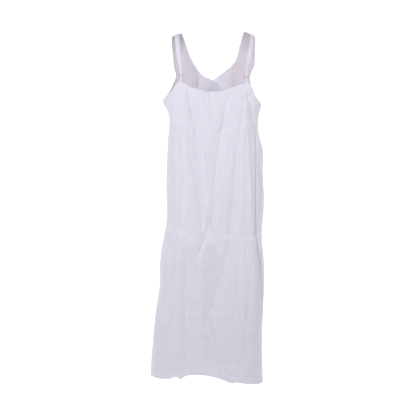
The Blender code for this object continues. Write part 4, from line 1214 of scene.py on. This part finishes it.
FRONT_ROWS = 0.0026  # spacing of the grid away from the seam
FRONT_COLUMNS = 86
CROWDED = 0.7  # how much closer the columns are at both edges, of 1


def from_arm_share(side, u):
    """Share of a row counted from the arm edge, where u counts from +X to -X. It is its own inverse."""
    return u if side.sign > 0 else 1 - u


def turn_of(x, z, side):
    """Turn of a place across, measured towards the side's own hand."""
    z = np.minimum(z, STRAP_FOOT)
    half_width = np.where(x < 0, size_at(z, side.other), size_at(z, side.name))
    return np.arcsin(np.clip(x / half_width, -1, 1)) * 2 / np.pi


def edge_at(side, v, name):
    """Turn and length of a front panel's outer or inner edge at a share of its length."""
    steps = column(side.edges, "step")
    x = column(side.edges, name + "_x")
    z = column(side.edges, name + "_z")
    return through(v, steps, turn_of(x, z, side)), through(v, steps, z)


def where_on_front(side, u, v):
    """Turn and length of the place (u, v): straight from the outer edge to the inner edge, and bent down to
    the seam below the bust near v = 0.
    """
    share = from_arm_share(side, u)
    outer_turn, outer_z = edge_at(side, v, "outer")
    inner_turn, inner_z = edge_at(side, v, "inner")
    turn = (np.minimum(outer_turn, 1) * (1 - share) + inner_turn * share) * side.sign
    length = outer_z * (1 - share) + inner_z * share
    straight = side.edges[0].outer_z * (1 - share) + side.edges[0].inner_z * share
    seam = level(FRONT_EMPIRE, np.sin(turn * np.pi / 2))
    return turn, length + (seam - straight) * ease(1 - v / SEAM_REACH)


def front_point(side, u, v):
    """Point of the bare form at the place (u, v) of a front panel."""
    return over_shoulder(*where_on_front(side, u, v), side)


# %% Lift and doubling of the front panels
def front_distances(side, u, v):
    """Distances from the arm edge, from the neck edge and from the seam below the bust."""
    steps = column(side.edges, "step")
    ends = [through(v, steps, column(side.edges, name)) for name in Edges._fields[1:]]
    width = np.hypot(ends[0] - ends[2], ends[1] - ends[3])
    share = from_arm_share(side, u)
    return share * width, (1 - share) * width, v * FRONT_LENGTH


def wrap_step(point, from_seam):
    """Inward step of the right half where the left one lies over it, small where a seam holds both."""
    edge = -through(point[..., 2], column(LEFT_EDGES, "inner_z"), column(LEFT_EDGES, "inner_x"))
    depth = WRAP_SEWN + (WRAP_DEPTH - WRAP_SEWN) * ease(from_seam / WRAP_OPENS)
    return -depth * ease((edge + WRAP_FADE - point[..., 0]) / WRAP_FADE)


def front_lift(side, point, u, v):
    """Folds and creases, the wrap's step, crumple, and the dimples of the edge stitching."""
    lift, _across = base_lift(point, 1)
    from_arm, from_neck, from_seam = front_distances(side, u, v)
    calm = ease(np.minimum(from_arm, from_neck) / FRONT_CALM) * ease(from_seam / CALM_ROWS)
    lift += crumple(point[..., 0], point[..., 2], side.seed) * calm
    lift += seam_roll(from_seam)
    lift += seam_roll(from_arm) * ease((UNDERARM - v) / ARM_FADE)
    along = v * FRONT_LENGTH
    lift += stitch_dimple(from_neck, along, NECK_TURN)
    lift += stitch_dimple(from_arm, along, NECK_TURN) * ease((v - UNDERARM) / ARM_FADE)
    if side is RIGHT:
        lift += wrap_step(point, from_seam)
    return lift


def front_surface(side, u, v):
    """Finished surface of a front panel at places (u, v)."""
    return lifted(partial(front_point, side), partial(front_lift, side), u, v)


def front_layers(side, u, v):
    """Double along the neck, along the armhole, and over the allowance below the bust."""
    from_arm, from_neck, from_seam = front_distances(side, u, v)
    neck = doubled(NECK_TURN, from_neck)
    arm = doubled(NECK_TURN, from_arm)
    return np.maximum.reduce([neck, arm, FRONT_ALLOWANCE * doubled(ALLOWANCE, from_seam)])


# %% Front panels
def make_front_panel(side):
    """A front panel, its rows closest at the seam below the bust and its columns closest at both edges."""
    v = spaced(FRONT_LENGTH, (0,), FRONT_ROWS) / FRONT_LENGTH
    u = np.linspace(0, 1, FRONT_COLUMNS)
    u = u - CROWDED * np.sin(2 * np.pi * u) / (2 * np.pi)
    u, v = np.meshgrid(u, v)
    points = front_surface(side, u, v)
    place = where_on_front(side, u, v)
    return cloth_piece("front_bodice_" + side.name, points, *place, front_layers(side, u, v))


for side in (LEFT, RIGHT):
    panel = make_front_panel(side)
    print(panel.name, len(panel.data.polygons), "faces")

# %% [markdown]
# ## Facings
#
# Inside each wide strap lies a second strip of plain cotton, a facing, which runs down inside the front and
# is sewn along the armhole only. Its colour is painted a little warmer and greyer, a painted pinkish bounce
# light on the inside of the straps. At its lower end it stands a few millimetres off the front. It is the
# front panel's own surface, moved inwards.

# %% Facings
FACING_MARK = -0.133  # height at which a facing's inner edge is at facing_x
FACING_INSET = 0.0025  # least distance from that edge to the neck edge
FACING_GAP = 0.0008  # clear of the front panel, taken as double everywhere
FACING_STAND = 0.0045  # how far its lower end stands off besides
STAND_AT_ARM = 0.4  # share of that along the armhole
STAND_LENGTH = 0.9  # share of its length over which it stands off
FACING_OUTER = 0.05  # share of the front panel's width from the arm edge to the facing
RIPPLE = 0.0012  # of its inner edge, greatest at the lower end
RIPPLE_WAVES = (23, 4)  # radians along the facing, and across it
FACING_ROWS = 120
FACING_COLUMNS = 26
FACING_EDGE = (0.93, 0.02)  # share of its width beyond which it is double, and width of that step


def facing_share(side, v):
    """Share of each row, from the arm edge, at which the facing's inner edge crosses it: the edge is the
    straight line x = facing_x + lean * (z - mark).
    """
    steps = column(side.edges, "step")
    outer_x, outer_z, inner_x, inner_z = (
        through(v, steps, column(side.edges, name)) for name in Edges._fields[1:]
    )
    start = side.facing_x + side.facing_lean * (outer_z - FACING_MARK) - outer_x
    width = inner_x - outer_x
    share = start / (width - side.facing_lean * (inner_z - outer_z))
    return np.minimum(share, 1 - FACING_INSET / np.abs(width))


def facing_surface(side, u, v):
    """The front panel from near its arm edge to the facing's inner edge, moved in by a gap and the stand."""
    share = from_arm_share(side, u)
    up = UNDERARM + (1 - UNDERARM) * v
    across = from_arm_share(side, FACING_OUTER + (facing_share(side, up) - FACING_OUTER) * share)
    stand = FACING_STAND * (STAND_AT_ARM + (1 - STAND_AT_ARM) * share) * (1 - ease(v / STAND_LENGTH))
    wave = np.sin(v * RIPPLE_WAVES[0] + share * RIPPLE_WAVES[1])
    depth = 2 * LAWN + FACING_GAP + stand + RIPPLE * wave * share * (1 - v) ** 2

    def inwards(point, a, b):
        """The front panel's lift less the depth at which the facing lies behind it."""
        return front_lift(side, point, a, b) - depth

    return lifted(partial(front_point, side), inwards, across, up), across, up


def make_facing(side):
    """A facing, double along its turned inner edge."""
    u, v = np.meshgrid(np.linspace(0, 1, FACING_COLUMNS), np.linspace(0, 1, FACING_ROWS))
    points, across, up = facing_surface(side, u, v)
    start, step = FACING_EDGE
    layers = ease((from_arm_share(side, u) - start) / step)
    place = where_on_front(side, across, up)
    return cloth_piece("strap_facing_" + side.name, points, *place, layers, FACING_COTTON_PAINTED_BOUNCE, "facing")


for side in (LEFT, RIGHT):
    panel = make_facing(side)
    print(panel.name, len(panel.data.polygons), "faces")

# %% [markdown]
# ## Narrow straps, loops and rings
#
# Each narrow strap is a folded strip, sewn on top of the wide strap at the shoulder. It comes down the back,
# goes round the upper wire of a small ring and back up behind itself. A short loop holds the same ring to
# the top edge of the back. A strip is a flattened ring of points carried along a path, and where it goes
# round the wire its middle sags with the wire's curve. A curve object could do the path, but not that sag.

# %% Ring places
STRAP_WALL = 0.0012  # thickness of a folded strip
RING_RADIUS = 0.0066  # to the middle of the wire
RING_WIRE = 0.0008  # radius of the wire
RING_OUT = -0.0037  # how far the ring lies off the form: negative is inside it
RING_POINTS = 64
WIRE_POINTS = 14
RING_STEP = 0.02  # of a turn, to find the direction across
STRAP_AT_RING = 0.0090  # width of a strip where it goes round the wire
STRIP_GAP = 0.00045  # between the wire and the strip
CLEAR = RING_WIRE + STRIP_GAP + STRAP_WALL / 2  # from the middle of the wire to the middle of the strip
Narrow = namedtuple("Narrow", "side top_x mid_x low_x width ring_z")
NARROW_STRAPS = (
    Narrow(LEFT, 0.1412, 0.1350, 0.1232, 0.0160, -0.1767),
    Narrow(RIGHT, 0.1530, 0.1440, 0.1280, 0.0140, -0.1830),
)


def ring_place(strap):
    """The ring's middle, the direction across it, away from the middle of the body, and the way outwards."""
    sign = strap.side.sign
    turn = turn_of(strap.low_x, strap.ring_z, strap.side) * sign
    edge = on_form(turn, np.array(strap.ring_z), -1)
    across = unit(on_form(turn + sign * RING_STEP, np.array(strap.ring_z), -1) - edge)
    out = np.cross(across, [0, 0, sign])
    return edge + out * RING_OUT, across, out


def make_ring(strap):
    """Torus: a circle of the wire's radius carried round a circle of the ring's radius."""
    centre, across, out = ring_place(strap)
    around = np.linspace(0, 2 * np.pi, RING_POINTS, endpoint=False)[:, None, None]
    tube = np.linspace(0, 2 * np.pi, WIRE_POINTS, endpoint=False)[None, :, None]
    radial = np.cos(around) * across + np.sin(around) * np.array([0.0, 0.0, 1.0])
    points = centre + radial * (RING_RADIUS + RING_WIRE * np.cos(tube)) + out * RING_WIRE * np.sin(tube)
    number = np.arange(RING_POINTS * WIRE_POINTS).reshape(RING_POINTS, WIRE_POINTS)
    ahead = np.roll(number, -1, axis=0)
    corners = [number, ahead, np.roll(ahead, -1, axis=1), np.roll(number, -1, axis=1)]
    quads = np.stack(corners if strap.side.sign > 0 else corners[::-1], axis=-1).reshape(-1, 4)
    piece = new_piece("ring_" + strap.side.name, points, quads.tolist(), NICKEL)
    return finish_piece(piece, "ring", "strap_ring_" + strap.side.name)


# %% Strips
Row = namedtuple("Row", "middle across width sag clear")
SECTION_POINTS = 28
FLATNESS = (0.35, 0.70)  # powers that draw a circle out to a flat oval, across and through
ROW_SPACING = 0.0022


def strip(name, rows, material):
    """Closed strip: at each row a ring of points (width / 2 * c, wall / 2 * s), c and s being the cosine and
    sine of the angle, each raised to its power in FLATNESS. Near the ring, a point that lies d across sags
    by r - sqrt(r^2 - d^2), as the wire does.
    """
    middle, across, width, sag, clear = (np.array(column(rows, part)) for part in Row._fields)
    angle = np.linspace(0, 2 * np.pi, SECTION_POINTS, endpoint=False)
    a = np.sign(np.cos(angle)) * np.abs(np.cos(angle)) ** FLATNESS[0] / 2
    b = np.sign(np.sin(angle)) * np.abs(np.sin(angle)) ** FLATNESS[1] / 2
    tangent = unit(np.gradient(middle, axis=0))
    normal = unit(np.cross(across, tangent))
    off = a * width[:, None]
    points = middle[:, None] + off[..., None] * across[:, None] + b[:, None] * STRAP_WALL * normal[:, None]
    wire = np.sqrt(RING_RADIUS**2 - np.clip(off, -STRAP_AT_RING / 2, STRAP_AT_RING / 2) ** 2)
    points[..., 2] += clear[:, None] * (RING_RADIUS / wire - 1) - sag[:, None] * (RING_RADIUS - wire)
    number = np.arange(len(rows) * SECTION_POINTS).reshape(len(rows), SECTION_POINTS)
    beside = np.roll(number, -1, axis=1)
    quads = np.stack([number[:-1], beside[:-1], beside[1:], number[1:]], axis=-1).reshape(-1, 4)
    faces = [*quads.tolist(), number[0, ::-1].tolist(), number[-1].tolist()]
    uv = np.stack([off, np.broadcast_to(run_along(middle)[:, None], off.shape)], axis=-1)
    return new_piece(name, points, faces, material, uv, np.zeros(number.shape))


def smooth_rows(rows):
    """The same path with its rows closer together: each column is a smooth curve of the length run."""
    columns = [np.array(column(rows, part)) for part in Row._fields]
    run = run_along(columns[0])
    at = np.linspace(0, run[-1], int(run[-1] / ROW_SPACING) + 2)
    fine = []
    for values in columns:
        flat = values.reshape(len(run), -1)
        fine.append(np.stack([through(at, run, flat[:, i]) for i in range(flat.shape[1])], axis=-1))
    return [Row(m, unit(a), w[0], s[0], c[0]) for m, a, w, s, c in zip(*fine)]


# %% Strap and loop paths
STRAP_LIES = 0.0009  # above the end of the wide strap
STRAP_MIDWAY = -0.070  # height at which a narrow strap is at mid_x
STRAP_SEWN = 0.012  # length of it that lies on the wide strap
STRAP_DROPS = 0.1  # by this share of that length
STRAP_STEPS = 12
WIDENS = 8  # a strap has its full width where its eased rise is one part in 8
STRAP_LEG = ((0.020, 0.0010), (0.012, 0.0011), (0.006, 0.0014))  # up from the wire, out from the ring
LOOP_LEG = ((-0.012, -0.0004, 0.0015), (0.0, -0.0006, 0.0015), (0.006, -0.0016, 0.0014))  # up, in, out
LOOP_WIDTH = 0.0125
WRAP = np.linspace(0, np.pi, 9)  # angles at which a strip goes round the wire


def strap_rows(strap):
    """From the leg behind the ring, round its upper wire, up to the shoulder along a quarter of an ellipse,
    and forward onto the wide strap.
    """
    side = strap.side
    centre, across, out = ring_place(strap)
    legs = np.array(STRAP_LEG)
    off = np.concatenate([-legs[:, 1], -CLEAR * np.cos(WRAP), legs[::-1, 1]])
    up = np.concatenate([legs[:, 0], -CLEAR * np.sin(WRAP), legs[::-1, 0]])
    low = centre + off[:, None] * out + (up + RING_RADIUS)[:, None] * [0, 0, 1]
    foot = low[-1]
    angle = np.linspace(np.pi / 2, 0, STRAP_STEPS + 1)[1:]
    top_z = shoulder_height(strap.top_x, side) + STRAP_WALL / 2 + STRAP_LIES
    z = top_z - (top_z - foot[2]) * (1 - np.cos(angle))
    x = side.sign * through(z, (foot[2], STRAP_MIDWAY, top_z), (strap.low_x, strap.mid_x, strap.top_x))
    high = np.stack([x, foot[1] * np.sin(angle), z], axis=-1)
    middle = np.concatenate([low, high, high[-1:] + [0, STRAP_SEWN, -STRAP_SEWN * STRAP_DROPS]])
    share = ease((middle[:, 2] - foot[2]) / (top_z - foot[2]))
    share[: len(low)] = 0
    slope = unit(np.array([side.sign, 0, -side.slope]))
    directions = unit(across * (1 - share[:, None]) + slope * share[:, None])
    width = STRAP_AT_RING + (strap.width - STRAP_AT_RING) * ease(share * WIDENS)
    sag = np.zeros(len(middle))
    sag[len(legs) - 1 : len(legs) + len(WRAP) + 1] = 0.5
    sag[len(legs) : len(legs) + len(WRAP)] = 1.0
    clear = np.zeros(len(middle))
    clear[len(legs) : len(legs) + len(WRAP)] = -CLEAR * np.sin(WRAP)
    return [Row(*values) for values in zip(middle, directions, width, sag, clear)]


def loop_rows(strap):
    """From inside the casing, up round the ring's lower wire from behind, and down again on the outside."""
    side = strap.side
    centre, across, out = ring_place(strap)
    edge_z = level(BACK_TOP, side.sign * strap.low_x / size_at(strap.ring_z, side.name))
    legs = np.array(LOOP_LEG)
    leg_up = legs[:, 0] + edge_z - centre[2] + RING_RADIUS
    off = np.concatenate([legs[:, 1], -CLEAR * np.cos(WRAP), legs[::-1, 2]])
    up = np.concatenate([leg_up, CLEAR * np.sin(WRAP), leg_up[::-1]])
    middle = centre + off[:, None] * out + (up - RING_RADIUS)[:, None] * [0, 0, 1]
    width = np.concatenate([[LOOP_WIDTH] * 2, [STRAP_AT_RING] * (len(WRAP) + 2), [LOOP_WIDTH] * 2])
    sag = np.concatenate([[0.0, 0.0, -0.5], -np.ones(len(WRAP)), [-0.5, 0.0, 0.0]])
    clear = np.concatenate([[0.0] * 3, CLEAR * np.sin(WRAP), [0.0] * 3])
    rows = [Row(m, across, w, s, c) for m, w, s, c in zip(middle, width, sag, clear)]
    return rows[::-1]


for strap in NARROW_STRAPS:
    make_ring(strap)
    for name, rows in (("back_strap_", strap_rows(strap)), ("strap_loop_", loop_rows(strap))):
        piece = strip("cloth_" + name + strap.side.name, smooth_rows(rows), COTTON)
        finish_piece(piece, "cotton", name + strap.side.name)
        print(piece.name, len(piece.data.polygons), "faces")

# %% [markdown]
# ## Stitches
#
# What holds the pieces together shows as rows of small stitches: along the hem, the casing, the neck and the
# armholes, above most cross seams, and beside the centre back seam. A texture could draw them, but modelled
# ones stand proud and catch the light. Every stitch is the same small spindle of 20 faces.

# %% Stitch rows
STITCH = 0.0026  # length of one
STITCH_STEP = 0.0034  # from one to the next
STITCH_RADIUS = 0.00022
STATIONS = np.array([-0.5, -0.28, 0.28, 0.5])  # places along a stitch, as shares of its length
SWELL = np.array([0.35, 1.0, 1.0, 0.35])  # and its thickness there, as a share
SIDES = 6
PROUD = 0.8  # radii by which the middle of a stitch stands off the cloth
DIVES = 3.2  # times station^2: the ends are level with the cloth
STITCH_NORMAL_STEP = 2e-4  # of a share of a panel


def along_line(surface, u, v):
    """Points every STITCH_STEP along the line (u, v) of a surface, the line's direction and the normal."""
    points = surface(u, v)
    run = run_along(points)
    at = np.arange(STITCH_STEP, run[-1] - STITCH_STEP, STITCH_STEP)
    u = np.interp(at, run, u)
    v = np.interp(at, run, v)
    points = surface(u, v)
    return points, unit(np.gradient(points, axis=0)), normal_at(surface, u, v, STITCH_NORMAL_STEP)


def stitch_points(points, along, normal):
    """Spindles: at each station a ring of six points round the stitch's line, which dips at both ends."""
    beside = unit(np.cross(normal, along))
    angle = np.linspace(0, 2 * np.pi, SIDES, endpoint=False)
    ring = np.cos(angle)[:, None, None, None] * normal + np.sin(angle)[:, None, None, None] * beside
    ring = np.moveaxis(ring, (0, 1), (2, 1)) * (SWELL * STITCH_RADIUS)[None, :, None, None]
    height = STITCH_RADIUS * (PROUD - DIVES * STATIONS**2)
    line = points[:, None] + along[:, None] * (STATIONS * STITCH)[None, :, None]
    line = line + normal[:, None] * height[None, :, None]
    return (line[:, :, None] + ring).reshape(-1, 3)


def stitch_faces(count):
    """Faces of every spindle: three bands of quads and a hexagon at each end."""
    number = np.arange(len(STATIONS) * SIDES).reshape(len(STATIONS), SIDES)
    beside = np.roll(number, -1, axis=1)
    quads = np.stack([number[:-1], number[1:], beside[1:], beside[:-1]], axis=-1).reshape(-1, 4)
    starts = np.arange(count)[:, None, None] * number.size
    ends = np.stack([number[0], number[-1, ::-1]])
    return (starts + quads).reshape(-1, 4).tolist() + (starts + ends).reshape(-1, SIDES).tolist()


def sew(name, lines):
    """One piece of all the stitches along the lines, each line being (surface, u, v)."""
    rows = [along_line(*line) for line in lines]
    points, along, normal = (np.concatenate(parts) for parts in zip(*rows))
    piece = new_piece(name, stitch_points(points, along, normal), stitch_faces(len(points)), THREAD_WHITE)
    print(name, len(points), "stitches")
    return finish_piece(piece, "cotton")


# %% Sewing
LINE = np.linspace(0, 1, 401)  # shares along a row of stitches, before they are spaced out
CENTRE_ROW_START = 0.05  # share of the lower tier at which the row beside the centre seam starts, at the hem
ARM_ROWS_START = UNDERARM + 0.01


def row_at(tier, distance):
    """The line at a distance above the lower edge of a tube panel, or below its upper edge if negative."""
    v = distance / tier.height if distance > 0 else 1 + distance / tier.height
    return partial(tube_surface, tier), LINE, np.full(LINE.shape, v)


def column_at(tier, u, first, last):
    """The line up a tube panel at a share of its width."""
    return partial(tube_surface, tier), np.full(LINE.shape, u), first + (last - first) * LINE


def edge_line(side, distance, name, first=0.0, last=1.0):
    """The line at a distance from the neck or arm edge of a front panel."""
    v = first + (last - first) * LINE
    from_arm, from_neck, _seam = front_distances(side, np.full(LINE.shape, 0.5), v)
    share = distance / (from_arm + from_neck)
    share = share if name == "arm" else 1 - share
    return partial(front_surface, side), from_arm_share(side, share), v


for tier in TIERS:
    lines = []
    if tier.top == "casing":
        lines += [row_at(tier, -CASING_STITCH), row_at(tier, -EDGE_STITCH)]
    if tier.bottom == "hem":
        lines += [row_at(tier, HEM_STITCH)]
    if tier.bottom == "seam":
        lines += [row_at(tier, ABOVE_SEAM)]
    if tier.end:
        lines += [column_at(tier, 1 - BESIDE_CENTRE / tier.width, CENTRE_ROW_START, 1.0)]
    sew("stitching_" + tier.node, lines)
for side in (LEFT, RIGHT):
    lines = [edge_line(side, NECK_TURN, "neck"), edge_line(side, EDGE_STITCH, "neck")]
    lines += [edge_line(side, distance, "arm", ARM_ROWS_START) for distance in (NECK_TURN, EDGE_STITCH)]
    node = "front_bodice_" + side.name
    sew("stitching_" + node, lines)

# %% [markdown]
# ## What each piece was cut from
#
# A maker cuts flat cloth, so each panel is listed with the flat size of what shows of it: its greatest
# width and length along the cloth, over every fold, and its area. Allowances and hems come on top of that.

Cut = namedtuple("Cut", "node width length area held")
CUTS = table(
    Cut,
    ("back_bodice", 0.56, 0.17, 0.066, "gathered"),
    ("back_skirt_upper", 0.56, 0.435, 0.224, "gathered"),
    ("back_skirt_lower_left", 0.355, 0.56, 0.171, "gathered"),
    ("back_skirt_lower_right", 0.285, 0.575, 0.151, "gathered"),
    ("front_skirt_upper", 0.54, 0.435, 0.224, "gathered"),
    ("front_skirt_lower", 0.605, 0.575, 0.32, "gathered"),
    ("front_bodice_left", 0.37, 0.505, 0.076, "hung"),
    ("front_bodice_right", 0.37, 0.515, 0.075, "hung"),
    ("strap_facing_left", 0.17, 0.32, 0.0222, "hung"),
    ("strap_facing_right", 0.14, 0.335, 0.0211, "hung"),
    ("back_strap_left", 0.016, 0.235, 0.0034, "folded"),
    ("back_strap_right", 0.014, 0.24, 0.0031, "folded"),
    ("strap_loop_left", 0.0125, 0.072, 0.00081, "folded"),
    ("strap_loop_right", 0.0125, 0.063, 0.00074, "folded"),
)


def cloth_area(piece):
    """Half of the closed shell's surface, which is the area of the cloth itself."""
    area = np.empty(len(piece.data.polygons))
    piece.data.polygons.foreach_get("area", area)
    return area.sum() / 2


for cut in CUTS:
    area = cloth_area(PIECES["cloth_" + cut.node])
    print(cut.node, "cut", cut.width, "x", cut.length, "area", cut.area, "cloth", round(area, 5))

# %% [markdown]
# ## Studio
#
# The dress hangs above a pale floor that curves up into a wall all round, so no edge shows behind it. Soft
# light comes from everywhere. Two large lamps stand left and right on the camera's side: the left one is the
# stronger, so a fold has a light and a dark flank. One at each side and one beyond the front fill the shade,
# and two more light the wall.

# %% Floor
FLOOR_Z = -2.1
FLOOR_RINGS = (0.02, 1.5, 3.0)  # radii of the flat floor, which starts with a small hole far below the dress
FLOOR_RADIUS = 3.9
WALL_CURVE = 1.6
WALL_TOP = 1.5
CURVE_STEPS = 17
ROUND_STEPS = 97
PAPER_GRAIN = 3.0
PAPER, paper_shader = new_material("matt_background_paper", Roughness=1.0, Specular_IOR_Level=0.0)
mottle(PAPER, paper_shader, PAPER_GRAIN, "F9F9FA", "FCFCFD")


def make_floor():
    """Surface of revolution of a profile: flat out to a radius, a quarter circle up, then straight up."""
    angle = np.linspace(0, np.pi / 2, CURVE_STEPS)
    curve = FLOOR_RADIUS + WALL_CURVE * np.sin(angle)
    radius = np.concatenate([FLOOR_RINGS, curve, [FLOOR_RADIUS + WALL_CURVE]])
    flat = np.zeros(len(FLOOR_RINGS))
    height = np.concatenate([flat, WALL_CURVE * (1 - np.cos(angle)), [WALL_TOP - FLOOR_Z]]) + FLOOR_Z
    around = np.linspace(0, 2 * np.pi, ROUND_STEPS)[:, None]
    shape = np.broadcast_shapes(around.shape, radius.shape)
    height = np.broadcast_to(height, shape)
    points = np.stack([radius * np.cos(around), radius * np.sin(around), height], axis=-1)
    floor = new_piece("studio_floor", points, grid_quads(*shape)[:, ::-1].tolist(), PAPER)
    return floor


make_floor()

# %% Light
WORLD_LIGHT = 0.28
Lamp = namedtuple("Lamp", "name place target size spread watts")
LAMPS = table(
    Lamp,
    ("key_left", (-1.3, -2.1, 0.30), (0.0, 0.0, -0.56), 1.2, 100, 10.0),
    ("key_right", (1.2, -2.1, 0.30), (0.0, 0.0, -0.56), 1.2, 100, 6.9),
    ("side_left", (-2.6, -0.6, 0.2), (0.0, 0.0, -0.6), 1.2, 180, 7.0),
    ("side_right", (2.6, -0.6, 0.2), (0.0, 0.0, -0.6), 1.2, 180, 5.5),
    ("far_side", (1.6, 3.0, 1.2), (0.0, 0.0, -0.6), 2.0, 180, 24.0),
    ("backdrop_left", (-3.4, 2.2, 0.0), (-0.8, 5.5, -1.1), 1.6, 180, 120.0),
    ("backdrop_right", (3.4, 2.2, 0.0), (0.8, 5.5, -1.1), 1.6, 180, 120.0),
)


def make_lamp(lamp):
    """A square area lamp turned so that its -Z axis points at its target."""
    data = bpy.data.lights.new(lamp.name, "AREA")
    data.size = lamp.size
    data.energy = lamp.watts
    data.spread = np.radians(lamp.spread)
    lit = bpy.data.objects.new(lamp.name, data)
    aim = np.array(lamp.target) - np.array(lamp.place)
    lit.location = lamp.place
    tilt = np.arccos(-aim[2] / np.linalg.norm(aim))
    lit.rotation_euler = (tilt, 0, np.arctan2(aim[1], aim[0]) - np.pi / 2)
    bpy.context.scene.collection.objects.link(lit)


for lamp in LAMPS:
    make_lamp(lamp)
world = bpy.data.worlds.new("soft_studio")
world.use_nodes = True
background = world.node_tree.nodes["Background"]
background.inputs["Color"].default_value = linear("FFFFFF")
background.inputs["Strength"].default_value = WORLD_LIGHT
bpy.context.scene.world = world
bpy.context.scene.view_settings.view_transform = "Standard"

# %% The cut pieces
for cut in CUTS:
    piece = PIECES["cloth_" + cut.node]
